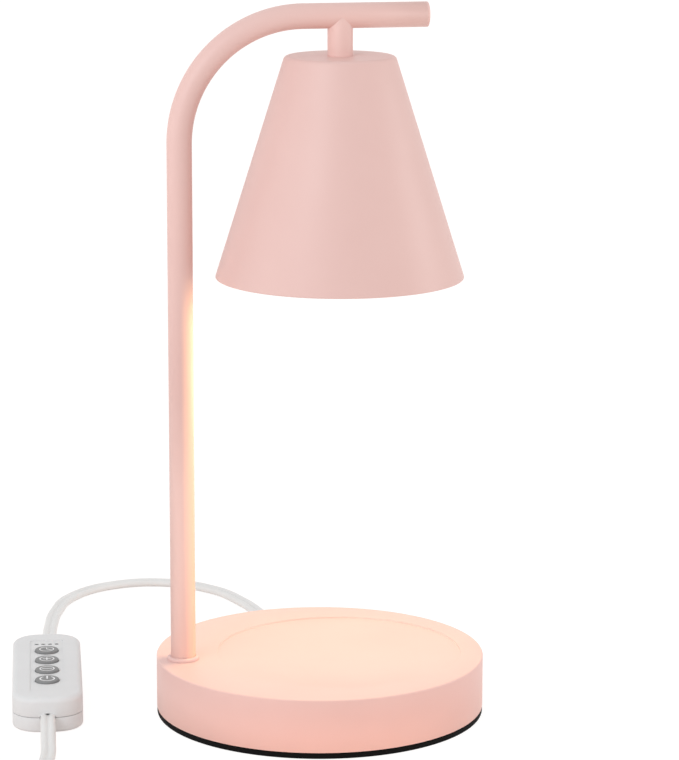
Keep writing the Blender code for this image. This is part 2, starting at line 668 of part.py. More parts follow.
def arm_path():
    """(x, z, heading) along the tube's centre line: up the post, over the bend and out along the arm."""
    centre = Vector((POST_X + BEND_RADIUS, ARM_HEIGHT - BEND_RADIUS))
    path = [(POST_X, TUBE_FOOT, QUARTER)]
    for k in range(BEND_STEPS + 1):
        heading = QUARTER * (1 - k / BEND_STEPS)
        place = centre + polar(BEND_RADIUS, heading + QUARTER)
        path.append((place.x, place.y, heading))
    return path + [(ARM_END - END_CAP_THICKNESS, ARM_HEIGHT, 0)]


def tube_rings(radius):
    """Circles of a radius round the tube's centre line, square to it."""
    circle = [polar(radius, FULL_TURN * k / SMALL_STEPS) for k in range(SMALL_STEPS)]
    rings = []
    for x, z, heading in arm_path():
        across = polar(1, heading - QUARTER)
        rings.append([(x + across.x * c.x, c.y, z + across.y * c.x) for c in circle])
    return rings


def make_post_and_arm():
    """Bent tube with its collar, end cap, and the nipple, washer and nut that hold it to the pan."""
    tube = skin("post_arm_tube", tube_rings(TUBE_RADIUS) + tube_rings(TUBE_BORE)[::-1], "pink_powder_coat",
                closed=True)
    cut(tube, pegs("arm_wire_hole", WIRE_HOLE_RADIUS, ARM_HEIGHT - TUBE_RADIUS - CUT_OVERRUN, ARM_HEIGHT,
                   [(SHADE_X, 0)]))
    spigot = TUBE_BORE - SEAT_GAP
    turned("arm_end_cap", rounded([
        (0, -END_CAP_SPIGOT, 0), (spigot, -END_CAP_SPIGOT, 0), (spigot, SEAT_GAP, 0),
        (TUBE_RADIUS, SEAT_GAP, 0), (TUBE_RADIUS, END_CAP_THICKNESS, END_CAP_EDGE),
        (0, END_CAP_THICKNESS, 0)]),
        "pink_powder_coat", steps=SMALL_STEPS,
        place=(ARM_END - END_CAP_THICKNESS, 0, ARM_HEIGHT), turn=(0, QUARTER, 0))
    collar_foot, collar_top = BASE_HEIGHT + SEAT_GAP, BASE_HEIGHT + COLLAR_HEIGHT
    turned("post_collar", rounded([
        (TUBE_RADIUS + SEAT_GAP, collar_foot, 0), (COLLAR_RADIUS, collar_foot, 0),
        (COLLAR_RADIUS, collar_top, COLLAR_EDGE), (TUBE_RADIUS + SEAT_GAP, collar_top, 0)]),
        "pink_powder_coat", place=(POST_X, 0, 0))
    ring("post_nipple", NIPPLE_BORE, NIPPLE_RADIUS, POST_NIPPLE_BOTTOM, BASE_HEIGHT + NIPPLE_IN_TUBE,
         "zinc_plated", steps=SMALL_STEPS, place=(POST_X, 0, 0))
    washer_top = PAN_UNDERSIDE - SEAT_GAP
    ring("post_washer", NIPPLE_RADIUS + SEAT_GAP, WASHER_RADIUS, washer_top - WASHER_THICKNESS, washer_top,
         "zinc_plated", steps=SMALL_STEPS, place=(POST_X, 0, 0))
    hex_nut("post_nut", POST_NUT_BOTTOM, POST_X, "zinc_plated")


def make_stem_and_shade():
    """Coped stem, conical shade, and the nipple, washer and nut that clamp the shade and the strap."""
    low = SHADE_TOP + SEAT_GAP
    stem = ring("stem", TUBE_BORE, TUBE_RADIUS, low, ARM_HEIGHT, "pink_powder_coat", place=(SHADE_X, 0, 0))
    reach = TUBE_RADIUS + CUT_OVERRUN
    cut(stem, pegs("stem_cope", TUBE_RADIUS + SEAT_GAP, -reach, reach, [(0, 0)], steps=2 * ROUND_STEPS,
                   place=(SHADE_X, 0, ARM_HEIGHT), turn=(0, QUARTER, 0)))

    slope = math.atan2(SHADE_MOUTH_RADIUS - SHADE_TOP_RADIUS, SHADE_TOP - SHADE_MOUTH)
    across = SHADE_WALL / math.cos(slope)
    spread = math.tan(slope)
    hole = NIPPLE_RADIUS + SEAT_GAP
    turned("shade", rounded([
        (hole, SHADE_TOP, 0), (SHADE_TOP_RADIUS, SHADE_TOP, SHADE_CORNER),
        (SHADE_MOUTH_RADIUS, SHADE_MOUTH, SHADE_RIM_EDGE),
        (SHADE_MOUTH_RADIUS - across, SHADE_MOUTH, SHADE_RIM_EDGE),
        (SHADE_TOP_RADIUS - across + spread * SHADE_WALL, SHADE_CEILING, SHADE_CORNER - SHADE_WALL),
        (hole, SHADE_CEILING, 0)]), "pink_powder_coat", steps=LARGE_STEPS, place=(SHADE_X, 0, 0))

    ring("shade_nipple", NIPPLE_BORE, NIPPLE_RADIUS, SHADE_NIPPLE_BOTTOM, ARM_HEIGHT - TUBE_RADIUS,
         "zinc_plated", steps=SMALL_STEPS, place=(SHADE_X, 0, 0))
    washer_top = STRAP_UNDERSIDE - SEAT_GAP
    washer_low = washer_top - WASHER_THICKNESS
    ring("shade_washer", NIPPLE_RADIUS + SEAT_GAP, SHADE_WASHER_RADIUS, washer_low, washer_top,
         "zinc_plated", steps=SMALL_STEPS, place=(SHADE_X, 0, 0))
    hex_nut("shade_nut", SHADE_NUT_BOTTOM, SHADE_X, "zinc_plated")


def make_lampholder():
    """Strap, ceramic with curved keyhole slots, its screws and its two contacts."""
    outer, inner = STRAP_HALF_SPAN + STRAP_THICKNESS, STRAP_HALF_SPAN
    foot_top = STRAP_FOOT_UNDERSIDE + STRAP_THICKNESS
    toe = outer + STRAP_FOOT
    right_half = [
        (inner, STRAP_UNDERSIDE, 0), (inner, STRAP_FOOT_UNDERSIDE, 0), (toe, STRAP_FOOT_UNDERSIDE, 0),
        (toe, foot_top, 0), (outer, foot_top, 0), (outer, STRAP_TOP, STRAP_BEND)]
    side = rounded(right_half + [(-x, z, bend) for x, z, bend in right_half[::-1]])
    rings = [[(x, y, z) for x, z in side] for y in (-STRAP_WIDTH / 2, STRAP_WIDTH / 2)]
    strap = skin("holder_strap", rings, "zinc_plated", place=(SHADE_X, 0, 0))
    screw_places = [(-HOLDER_SCREW_X, 0), (HOLDER_SCREW_X, 0)]
    cut(strap, pegs("strap_nipple_hole", NIPPLE_RADIUS + SEAT_GAP, STRAP_UNDERSIDE - CUT_OVERRUN,
                    STRAP_TOP + CUT_OVERRUN, [(0, 0)], place=(SHADE_X, 0, 0)))
    cut(strap, pegs("strap_screw_holes", HOLDER_SCREW_RADIUS + SEAT_GAP, STRAP_FOOT_UNDERSIDE - CUT_OVERRUN,
                    foot_top + CUT_OVERRUN, screw_places, place=(SHADE_X, 0, 0)))

    holder = turned("lampholder", rounded([
        (0, 0, 0), (HOLDER_RADIUS, 0, HOLDER_EDGE), (HOLDER_RADIUS, HOLDER_HEIGHT, HOLDER_EDGE),
        (0, HOLDER_HEIGHT, 0)]), "white_ceramic", place=(SHADE_X, 0, HOLDER_FACE))
    face = {"place": (SHADE_X, 0, HOLDER_FACE)}
    locked = (QUARTER, -QUARTER)
    pockets = [bent_slot(PIN_CIRCLE, POCKET_WIDTH, angle - LOCK_TURN, angle) for angle in locked]
    slots = [bent_slot(PIN_CIRCLE, SLOT_WIDTH, angle - LOCK_TURN, angle) for angle in locked]
    entries = [polar(PIN_CIRCLE, angle - LOCK_TURN) for angle in locked]
    middle = (FACE_PLATE + POCKET_TOP) / 2
    above = HOLDER_HEIGHT + CUT_OVERRUN
    cut(holder, prisms("pin_pockets", pockets, FACE_PLATE, POCKET_TOP, None, **face))
    cut(holder, prisms("pin_slots", slots, -CUT_OVERRUN, middle, None, **face))
    cut(holder, pegs("pin_entries", ENTRY_RADIUS, -CUT_OVERRUN, middle, entries, **face))
    cut(holder, pegs("lead_holes", LEAD_RADIUS + SEAT_GAP, POCKET_TOP - CUT_OVERRUN, above,
                     [polar(PIN_CIRCLE, angle) for angle in locked], **face))
    screw_bottom = HOLDER_HEIGHT + STRAP_THICKNESS + 2 * SEAT_GAP - HOLDER_SCREW_LENGTH
    cut(holder, pegs("holder_screw_holes", HOLDER_SCREW_RADIUS + SEAT_GAP, screw_bottom - SEAT_GAP, above,
                     screw_places, **face))
    head = foot_top - HOLDER_FACE + SEAT_GAP
    crown = head + HOLDER_SCREW_HEAD_HEIGHT
    outline = [(0, screw_bottom), (HOLDER_SCREW_RADIUS, screw_bottom), (HOLDER_SCREW_RADIUS, head),
               (HOLDER_SCREW_HEAD_RADIUS, head), (HOLDER_SCREW_HEAD_RADIUS, (head + crown) / 2),
               (HOLDER_SCREW_RADIUS, crown), (0, crown)]
    for number, (x, y) in enumerate(screw_places, 1):
        turned(f"holder_screw_{number}", outline, "zinc_plated", steps=SMALL_STEPS,
               place=(SHADE_X + x, y, HOLDER_FACE))
    contact_low = POCKET_TOP - SEAT_GAP - CONTACT_THICKNESS
    for number, angle in enumerate(locked, 1):
        prisms(f"holder_contact_{number}", [bent_slot(PIN_CIRCLE, CONTACT_WIDTH, angle - LOCK_TURN, angle)],
               contact_low, contact_low + CONTACT_THICKNESS, "brass", **face)


def make_bulb():
    """Reflector bulb on its twist axis: ceramic base, two headed pins, reflector, front glass and capsule."""
    axis = add_empty("bulb_axis", (SHADE_X, 0, HOLDER_FACE))
    on_axis = {"parent": axis}
    base_bottom = -BULB_BASE_HEIGHT
    shoulder = BULB_BASE_RADIUS - BULB_BASE_SHOULDER
    base = turned("bulb_base", rounded([
        (0, base_bottom, 0), (BULB_BASE_RADIUS, base_bottom, 0),
        (BULB_BASE_RADIUS, -2 * BULB_BASE_SHOULDER, 0), (shoulder, -SEAT_GAP, BULB_BASE_SHOULDER / 2),
        (0, -SEAT_GAP, 0)]), "white_ceramic", **on_axis)
    pins = [polar(PIN_CIRCLE, angle) for angle in (QUARTER, -QUARTER)]
    seat_bottom = -PIN_SEAT_DEPTH - SEAT_GAP
    cut(base, pegs("pin_seats", PIN_RADIUS + SEAT_GAP, seat_bottom, CUT_OVERRUN, pins, **on_axis))
    outline = [(0, -PIN_SEAT_DEPTH), (PIN_RADIUS, -PIN_SEAT_DEPTH), (PIN_RADIUS, PIN_HEAD_BOTTOM),
               (PIN_HEAD_RADIUS, PIN_HEAD_BOTTOM), (PIN_HEAD_RADIUS, PIN_HEAD_TOP - PIN_HEAD_EDGE),
               (PIN_HEAD_RADIUS - PIN_HEAD_EDGE, PIN_HEAD_TOP), (0, PIN_HEAD_TOP)]
    for number, (x, y) in enumerate(pins, 1):
        turned(f"bulb_pin_{number}", outline, "zinc_plated", steps=SMALL_STEPS, place=(x, y, 0), **on_axis)

    neck_top = base_bottom - SEAT_GAP
    bowl_top = neck_top - BULB_NECK_HEIGHT
    rim_bottom = -BULB_LENGTH
    bowl_bottom = rim_bottom + BULB_RIM_HEIGHT
    bowl = []
    for step in range(BULB_BOWL_STEPS + 1):
        share = step / BULB_BOWL_STEPS
        widest = BULB_RIM_RADIUS - BULB_RIM_WALL / 2
        radius = BULB_BASE_RADIUS + (widest - BULB_BASE_RADIUS) * share ** BULB_BOWL_POWER
        bowl.append((radius, bowl_top + (bowl_bottom - bowl_top) * share))
    ledge = bowl_bottom - BULB_GLASS_LEDGE
    glass_seat = BULB_RIM_RADIUS - BULB_RIM_WALL
    inside = [(radius - BULB_GLASS_WALL, height - BULB_GLASS_WALL / 2) for radius, height in bowl[::-1]]
    outline = [(BULB_NECK_HOLE, neck_top), (BULB_BASE_RADIUS, neck_top)] + bowl
    outline += [(BULB_RIM_RADIUS, bowl_bottom), (BULB_RIM_RADIUS, rim_bottom), (glass_seat, rim_bottom)]
    outline += [(glass_seat, ledge), (glass_seat - BULB_GLASS_LEDGE, ledge)]
    outline += inside[1:] + [(BULB_NECK_HOLE, bowl_top - BULB_GLASS_WALL)]
    turned("bulb_reflector", outline, "coated_reflector", steps=BULB_FACETS, **on_axis)
    glass_top = ledge - SEAT_GAP
    glass = glass_seat - SEAT_GAP
    glass_bottom = glass_top - FRONT_GLASS_THICKNESS
    turned("bulb_front_glass", [(0, glass_bottom), (glass, glass_bottom), (glass, glass_top), (0, glass_top)],
           "clear_glass", steps=BULB_FACETS, **on_axis)
    capsule_tip = neck_top - CAPSULE_HEIGHT
    capsule_neck = neck_top - CAPSULE_NECK_HEIGHT
    turned("bulb_capsule", rounded([
        (0, capsule_tip, 0), (CAPSULE_RADIUS, capsule_tip + CAPSULE_TIP, CAPSULE_TIP / 2),
        (CAPSULE_RADIUS, capsule_neck, 0), (CAPSULE_NECK_RADIUS, capsule_neck, 0),
        (CAPSULE_NECK_RADIUS, neck_top, 0), (0, neck_top, 0)]), "clear_glass", steps=SMALL_STEPS, **on_axis)


def make_wiring():
    """Two heat-proof leads from the lampholder to the terminal block, and the cord's two cores beyond it."""
    block_low = PLATE_TOP + SEAT_GAP
    wire_height = CORD_EXIT_HEIGHT
    outline = rounded_rectangle(TERMINAL_LENGTH, TERMINAL_WIDTH, TERMINAL_EDGE)
    block = prisms("terminal_block", [outline], block_low, block_low + TERMINAL_HEIGHT, "white_nylon",
                   place=(TERMINAL_X, TERMINAL_Y, 0))
    reach = TERMINAL_LENGTH / 2 + CUT_OVERRUN
    bores = [(-wire_height, side * TERMINAL_PITCH / 2) for side in (-1, 1)]
    cut(block, pegs("terminal_bores", TERMINAL_BORE, -reach, reach, bores,
                    place=(TERMINAL_X, TERMINAL_Y, 0), turn=(0, QUARTER, 0)))

    corner = Vector((SHADE_X - LEAD_TURN, ARM_HEIGHT - LEAD_TURN))
    for number, side in enumerate((-1, 1), 1):
        y = side * LEAD_OFFSET
        line = [(SHADE_X, side * PIN_CIRCLE, HOLDER_FACE + POCKET_TOP)]
        for k in range(LEAD_EASE_STEPS + 1):
            share = (1 - math.cos(math.pi * k / LEAD_EASE_STEPS)) / 2
            height = HOLDER_BACK + (SHADE_NIPPLE_BOTTOM - HOLDER_BACK) * k / LEAD_EASE_STEPS
            line.append((SHADE_X, side * (PIN_CIRCLE + (LEAD_OFFSET - PIN_CIRCLE) * share), height))
        for k in range(LEAD_EASE_STEPS + 1):
            place = corner + polar(LEAD_TURN, QUARTER * k / LEAD_EASE_STEPS)
            line.append((place.x, y, place.y))
        line += [(x, y, z) for x, z, _ in arm_path()[-2:0:-2]]
        foot = POST_NIPPLE_BOTTOM
        line.append((POST_X, y, foot))
        entry_y = TERMINAL_Y + side * TERMINAL_PITCH / 2
        entry_x = TERMINAL_X - TERMINAL_LENGTH / 2 + WIRE_IN_TERMINAL
        drop = foot - wire_height
        apart = -2 * side * LEAD_OFFSET
        route = [(POST_X, y, foot - drop / 4), (POST_X + apart, y + drop / 2, wire_height)]
        for share_x, share_y in LEAD_ROUTE_SHARES:
            along = POST_X + apart / 2 + (entry_x - POST_X) * share_x
            route.append((along, y + (entry_y - y) * share_y, wire_height))
        route.append((entry_x, entry_y, wire_height))
        line += [tuple(point) for point in smooth_line(route, WASHER_RADIUS / 2)]
        curve_tube(f"lead_wire_{number}", line, LEAD_RADIUS, "white_sleeve", 1)

        start_y = BASE_RADIUS - PAN_WALL - RELIEF_CURVE_GAP - RELIEF_FLANGE_THICKNESS - SEAT_GAP
        core_x = -side * CORE_PITCH / 2
        turn_y = entry_y + CORE_TURN
        core_end = TERMINAL_X + TERMINAL_LENGTH / 2 - WIRE_IN_TERMINAL
        core = [(core_x, start_y, wire_height), (core_x, max(turn_y, start_y - CORE_TURN / 2), wire_height),
                (core_x - CORE_TURN, entry_y + CORE_TURN / 4, wire_height),
                (core_x - 2 * CORE_TURN, entry_y, wire_height), (core_end, entry_y, wire_height)]
        curve_tube(f"cord_core_{number}", smooth_line(core, CORE_TURN / 2), CORE_RADIUS, "white_vinyl", 1)


def make_strain_relief():
    """Moulded boot that grips the pan's wall and tapers, with ribs, along the cord."""
    inner_face = BASE_RADIUS - PAN_WALL - RELIEF_CURVE_GAP
    stations = [(inner_face - RELIEF_FLANGE_THICKNESS, RELIEF_FLANGE_WIDTH, RELIEF_FLANGE_HEIGHT),
                (inner_face, RELIEF_FLANGE_WIDTH, RELIEF_FLANGE_HEIGHT),
                (inner_face, RELIEF_NECK_WIDTH, RELIEF_NECK_HEIGHT),
                (BASE_RADIUS + SEAT_GAP, RELIEF_NECK_WIDTH, RELIEF_NECK_HEIGHT),
                (BASE_RADIUS + SEAT_GAP, RELIEF_ROOT_WIDTH, RELIEF_ROOT_HEIGHT)]
    taper = RELIEF_LENGTH - SEAT_GAP
    for step in range(1, 2 * RELIEF_RIBS + 1):
        share = step / (2 * RELIEF_RIBS)
        width = RELIEF_ROOT_WIDTH + (RELIEF_TIP_WIDTH - RELIEF_ROOT_WIDTH) * share
        height = RELIEF_ROOT_HEIGHT + (RELIEF_TIP_HEIGHT - RELIEF_ROOT_HEIGHT) * share
        waist = 2 * RELIEF_RIB_DEPTH if step % 2 else 0
        stations.append((BASE_RADIUS + SEAT_GAP + taper * share, width - waist, height - waist))
    rings = []
    for y, width, height in stations:
        outline = rounded_rectangle(width, height, height * RELIEF_CORNER_SHARE)
        rings.append([(x, y, CORD_EXIT_HEIGHT + z) for x, z in outline])
    skin("strain_relief", rings, "white_vinyl")


def box_rings(stations, length, width, corner):
    """Rings of the control box's outline, one for each (inset, height)."""
    rings = []
    for inset, height in stations:
        outline = rounded_rectangle(width - 2 * inset, length - 2 * inset, corner - inset, BOX_CORNER_STEPS)
        rings.append([(x, y, height) for x, y in outline])
    return rings


def edge_stations(edge, height, towards):
    """(inset, height) steps of a round edge that ends at height, coming from below (1) or above (-1)."""
    turns = [QUARTER * k / ARC_STEPS for k in range(ARC_STEPS + 1)]
    return [(edge * (1 - math.cos(a)), height - towards * edge * (1 - math.sin(a))) for a in turns]


def make_control_box():
    """Two case halves, circuit board, four keys on their plungers, light guide and screws."""
    box = add_empty("control_box_frame", (CONTROL_X, CONTROL_Y, 0), CONTROL_TURN)
    inside = {"parent": box}
    size = (CONTROL_LENGTH, CONTROL_WIDTH, CONTROL_CORNER)
    rim_low, rim_high = CONTROL_PARTING - SEAT_GAP / 2, CONTROL_PARTING + SEAT_GAP / 2
    keys = [(0, KEY_CENTRE + KEY_PITCH * (1.5 - k)) for k in range(len(KEY_NAMES))]
    dots = [(DOT_PITCH * (k - (DOT_COUNT - 1) / 2), DOT_Y) for k in range(DOT_COUNT)]
    screws = [(CASE_SCREW_X, CASE_SCREW_Y), (-CASE_SCREW_X, -CASE_SCREW_Y)]
    tunnel = rounded_rectangle(CORD_WIDTH + 2 * SEAT_GAP, CORD_THICKNESS + 2 * SEAT_GAP, CORD_THICKNESS / 2)
    half = CONTROL_LENGTH / 2 + CUT_OVERRUN
    cord_tunnel = prisms("cord_tunnel", [tunnel], -half, half, None, place=(0, 0, CONTROL_PARTING),
                         turn=(QUARTER, 0, 0), **inside)

    stations = [(CONTROL_WALL, CONTROL_CEILING), (CONTROL_WALL, rim_high), (0, rim_high)]
    stations += edge_stations(CONTROL_TOP_EDGE, CONTROL_HEIGHT, 1)
    top = skin("control_top", box_rings(stations, *size), "white_abs", **inside)
    below, above = CONTROL_CEILING - CUT_OVERRUN, CONTROL_HEIGHT + CUT_OVERRUN
    boss_top = CONTROL_CEILING + CONTROL_WALL / 2
    fuse(top, pegs("top_bosses", CASE_BOSS_RADIUS, rim_high, boss_top, screws, **inside))
    panel = shifted(rounded_rectangle(PANEL_WIDTH, PANEL_LENGTH, PANEL_CORNER), (0, KEY_CENTRE))
    cut(top, prisms("panel_recess", [panel], PANEL_FLOOR, above, None, **inside))
    cut(top, pegs("key_holes", KEY_RADIUS + SEAT_GAP, below, above, keys, steps=KEY_STEPS, **inside))
    cut(top, pegs("dot_holes", DOT_RADIUS + SEAT_GAP / 2, below, above, dots, steps=DOT_STEPS, **inside))
    screw_head = CASE_SCREW_SUNK
    screw_top = screw_head + CASE_SCREW_LENGTH
    screw_low = rim_high - CUT_OVERRUN
    cut(top, pegs("top_screw_holes", CASE_SCREW_HOLE, screw_low, screw_top + SEAT_GAP, screws, **inside))
    cut(top, cord_tunnel)

    stations = edge_stations(CONTROL_BOTTOM_EDGE, 0, -1)[::-1]
    stations += [(0, rim_low), (CONTROL_WALL, rim_low), (CONTROL_WALL, CONTROL_WALL)]
    bottom = skin("control_bottom", box_rings(stations, *size), "white_abs", **inside)
    fuse(bottom, pegs("bottom_bosses", CASE_BOSS_RADIUS, CONTROL_WALL / 2, rim_low, screws, **inside))
    posts = [(sx * BOARD_POST_X, sy * BOARD_POST_Y) for sx in (-1, 1) for sy in (-1, 1)]
    fuse(bottom, pegs("board_posts", BOARD_POST_RADIUS, CONTROL_WALL / 2, BOARD_BOTTOM - SEAT_GAP, posts,
                      steps=DOT_STEPS, **inside))
    well = CASE_SCREW_HEAD_RADIUS + SEAT_GAP
    cut(bottom, pegs("screw_wells", well, -CUT_OVERRUN, CASE_SCREW_WELL, screws, **inside))
    cut(bottom, pegs("bottom_screw_holes", CASE_SCREW_HOLE, CASE_SCREW_WELL - CUT_OVERRUN,
                     rim_low + CUT_OVERRUN, screws, **inside))
    cut(bottom, cord_tunnel)
    head_top = screw_head + CASE_SCREW_HEAD_HEIGHT
    outline = [(0, screw_head), (CASE_SCREW_HEAD_RADIUS, screw_head), (CASE_SCREW_HEAD_RADIUS, head_top),
               (CASE_SCREW_RADIUS, head_top), (CASE_SCREW_RADIUS, screw_top - SCREW_TIP),
               (CASE_SCREW_RADIUS - SCREW_TIP, screw_top), (0, screw_top)]
    for number, (x, y) in enumerate(screws, 1):
        turned(f"case_screw_{number}", outline, "zinc_plated", steps=SMALL_STEPS, place=(x, y, 0), **inside)

    outline = rounded_rectangle(BOARD_WIDTH, BOARD_LENGTH, BOARD_CORNER)
    board = prisms("circuit_board", [outline], BOARD_BOTTOM, BOARD_TOP, "green_laminate", **inside)
    square = rounded_rectangle(SWITCH_SIDE, SWITCH_SIDE, SMALL_EDGE, steps=1)
    fuse(board, prisms("switch_housings", [shifted(square, key) for key in keys],
                       BOARD_TOP - BOARD_THICKNESS / 2, BOARD_TOP + SWITCH_HEIGHT, None, **inside))
    plunger_low = PLUNGER_TOP - PLUNGER_LENGTH
    bore_low = plunger_low - KEY_TRAVEL - SEAT_GAP
    cut(board, pegs("plunger_bores", PLUNGER_BORE, bore_low, PLUNGER_TOP, keys, **inside))
    part_foot = BOARD_TOP + SEAT_GAP
    end = CAPACITOR_LENGTH / 2
    turned("capacitor", [(0, -end), (CAPACITOR_RADIUS, -end), (CAPACITOR_RADIUS, end), (0, end)],
           "black_plastic", steps=SMALL_STEPS, place=(0, CAPACITOR_Y, part_foot + CAPACITOR_RADIUS),
           turn=(0, QUARTER, 0), **inside)
    prisms("dimmer_switch", [rounded_rectangle(DIMMER_WIDTH, DIMMER_LENGTH, SMALL_EDGE)], part_foot,
           part_foot + DIMMER_HEIGHT, "black_plastic", place=(0, DIMMER_Y, 0), **inside)

    bar_top = CONTROL_CEILING - SEAT_GAP
    bar = shifted(rounded_rectangle(GUIDE_LENGTH, GUIDE_WIDTH, SMALL_EDGE), (0, DOT_Y))
    guide = prisms("indicator_guide", [bar], bar_top - GUIDE_THICKNESS, bar_top, "clear_acrylic", **inside)
    fuse(guide, pegs("guide_pins", DOT_RADIUS, bar_top - GUIDE_THICKNESS / 2, PANEL_FLOOR, dots,
                     steps=DOT_STEPS, **inside))

    flange_top = CONTROL_CEILING - SEAT_GAP
    flange_low = flange_top - KEY_FLANGE_THICKNESS
    foot_low = PLUNGER_TOP + SEAT_GAP
    key_top = PANEL_FLOOR + KEY_PROUD
    cap = rounded([
        (0, foot_low, 0), (KEY_FOOT_RADIUS, foot_low, 0), (KEY_FOOT_RADIUS, flange_low, 0),
        (KEY_FLANGE_RADIUS, flange_low, 0), (KEY_FLANGE_RADIUS, flange_top, 0), (KEY_RADIUS, flange_top, 0),
        (KEY_RADIUS, key_top, KEY_EDGE), (0, key_top, 0)])
    plunger = [
        (0, plunger_low), (PLUNGER_RADIUS, plunger_low), (PLUNGER_RADIUS, PLUNGER_TOP), (0, PLUNGER_TOP)]
    for name, (x, y) in zip(KEY_NAMES, keys):
        turned(f"key_{name}", cap, "grey_abs", steps=KEY_STEPS, place=(x, y, 0), **inside)
        turned(f"plunger_{name}", plunger, "black_plastic", steps=SMALL_STEPS, place=(x, y, 0), **inside)
    return box


def control_point(along, height):
    """A place on the control box's centre line, in world coordinates."""
    direction = Vector((-math.sin(CONTROL_TURN), math.cos(CONTROL_TURN)))
    return (CONTROL_X + direction.x * along, CONTROL_Y + direction.y * along, height)


def coil_line(mean_radius):
    """The coil's centre line: in on the low layer, up a layer while the spiral turns back, out on top."""
    half = COIL_TURNS / 2
    least = mean_radius - COIL_PITCH * half / 2
    widest = least + COIL_PITCH * half
    steps = round(COIL_TURNS * COIL_POINTS_PER_TURN)
    line = [(COIL_X + COIL_END_RUN, COIL_Y - widest, COIL_LOW)]
    for step in range(steps + 1):
        turns = COIL_TURNS * step / steps
        radius = least + COIL_PITCH * abs(turns - half)
        climb = min(1, max(0, (turns - half) / COIL_CLIMB_TURNS + 0.5))
        share = climb * climb * (3 - 2 * climb)
        place = polar(radius, -QUARTER - FULL_TURN * turns)
        line.append((COIL_X + place.x, COIL_Y + place.y, COIL_LOW + COIL_LAYER_STEP * share))
    end = Vector(line[-1])
    rise = PLUG_AXIS - COIL_HIGH
    for run_share, rise_share in PLUG_RUN_SHARES:
        line.append((end.x, end.y + PLUG_RUN * run_share, end.z + rise * rise_share))
    return line


def least_gap(line):
    """The least gap between the coil's turns, on points of the flat cord's own surface."""
    line = np.array(line)
    ahead = np.gradient(line, axis=0)
    ahead /= np.linalg.norm(ahead, axis=1)[:, None]
    across = np.stack([ahead[:, 1], -ahead[:, 0], np.zeros(len(line))], axis=1)
    surface = []
    for angle in np.linspace(0, FULL_TURN, ROUND_STEPS, endpoint=False):
        lift = np.array([0, 0, CORD_THICKNESS / 2 * math.sin(angle)])
        surface.append(line + across * CORD_WIDTH / 2 * math.cos(angle) + lift)
    surface = np.stack(surface, axis=1)
    far = COIL_POINTS_PER_TURN // 2
    gaps = []
    for i in range(len(line) - far):
        apart = surface[i][:, None, None] - surface[None, i + far:]
        gaps.append(np.sqrt((apart ** 2).sum(axis=-1)).min())
    return float(min(gaps))


def make_cords():
    """The flat cord's two free stretches and the coil of its spare length."""
    half = CONTROL_LENGTH / 2
    inside = half - CORD_IN_CONTROL
    shape = {"height_share": CORD_THICKNESS / CORD_WIDTH}
    start = RELIEF_TIP_Y + SEAT_GAP
    first = cord_line([
        (0, start, CORD_EXIT_HEIGHT), (0, start + CORD_WIDTH, CORD_EXIT_HEIGHT), *LAMP_ROUTE,
        control_point(half + CORD_WIDTH, CONTROL_PARTING), control_point(inside, CONTROL_PARTING)])
    curve_tube("cord_to_control", first, CORD_WIDTH / 2, "white_vinyl", 2, **shape)

    spare = CORD_LENGTH - length_of(first) - CONTROL_LENGTH
    mean_radius = spare / (FULL_TURN * COIL_TURNS)
    for _ in range(6):
        coil = coil_line(mean_radius)
        second = second_stretch(coil[0])
        surplus = length_of(coil) + length_of(second) - spare
        mean_radius -= surplus / (FULL_TURN * COIL_TURNS)
    coil = coil_line(mean_radius)
    second = second_stretch(coil[0])
    curve_tube("cord_from_control", second, CORD_WIDTH / 2, "white_vinyl", 2, **shape)
    curve_tube("cord_coil", coil, CORD_WIDTH / 2, "white_vinyl", 1, **shape)
    gap = least_gap(coil[1:])
    print(f"cord: {length_of(first):.3f} m to the box, {length_of(second):.3f} m from it")
    print(f"coil: {length_of(coil):.3f} m, mean radius {mean_radius / MM:.1f} mm")
    print(f"least gap of the coil to itself: {gap / MM:.2f} mm")
    if gap < COIL_LEAST_GAP:
        print("the coil's turns are too close")
    make_tie(coil)
    make_plug(coil[-1])


def second_stretch(coil_start):
    """From the box's near end out and round to the coil's first point, with the seat gap between them."""
    half = CONTROL_LENGTH / 2
    x, y, z = coil_start
    return cord_line([
        control_point(CORD_IN_CONTROL - half, CONTROL_PARTING),
        control_point(-half - CORD_WIDTH, CONTROL_PARTING),
        *PLUG_ROUTE, (x + CORD_WIDTH, y, z), (x + SEAT_GAP, y, z)])


def make_tie(coil):
    """A flat band round all the coil's turns, as wide as the turns lie at its angle."""
    spread = FULL_TURN / COIL_POINTS_PER_TURN
    reach = []
    for x, y, _ in coil:
        turn = math.atan2(y - COIL_Y, x - COIL_X) - TIE_ANGLE
        if abs(math.remainder(turn, FULL_TURN)) < spread:
            reach.append(math.hypot(x - COIL_X, y - COIL_Y))
    inner = min(reach) - CORD_WIDTH / 2 - TIE_GAP
    outer = max(reach) + CORD_WIDTH / 2 + TIE_GAP
    low, high = COIL_LOW - CORD_THICKNESS / 2 - TIE_GAP, COIL_HIGH + CORD_THICKNESS / 2 + TIE_GAP
    frame = add_empty("tie_frame", (COIL_X, COIL_Y, 0), TIE_ANGLE)
    centre = Vector(((inner + outer) / 2, (low + high) / 2))
    loops = []
    for grow, side in ((0, 1), (TIE_THICKNESS, 1), (TIE_THICKNESS, -1), (0, -1)):
        outline = rounded_rectangle(outer - inner + 2 * grow, high - low + 2 * grow, TIE_CORNER + grow)
        loops.append([(centre.x + x, side * TIE_WIDTH / 2, centre.y + z) for x, z in outline])
    skin("coil_tie", loops, "white_vinyl", closed=True, parent=frame)


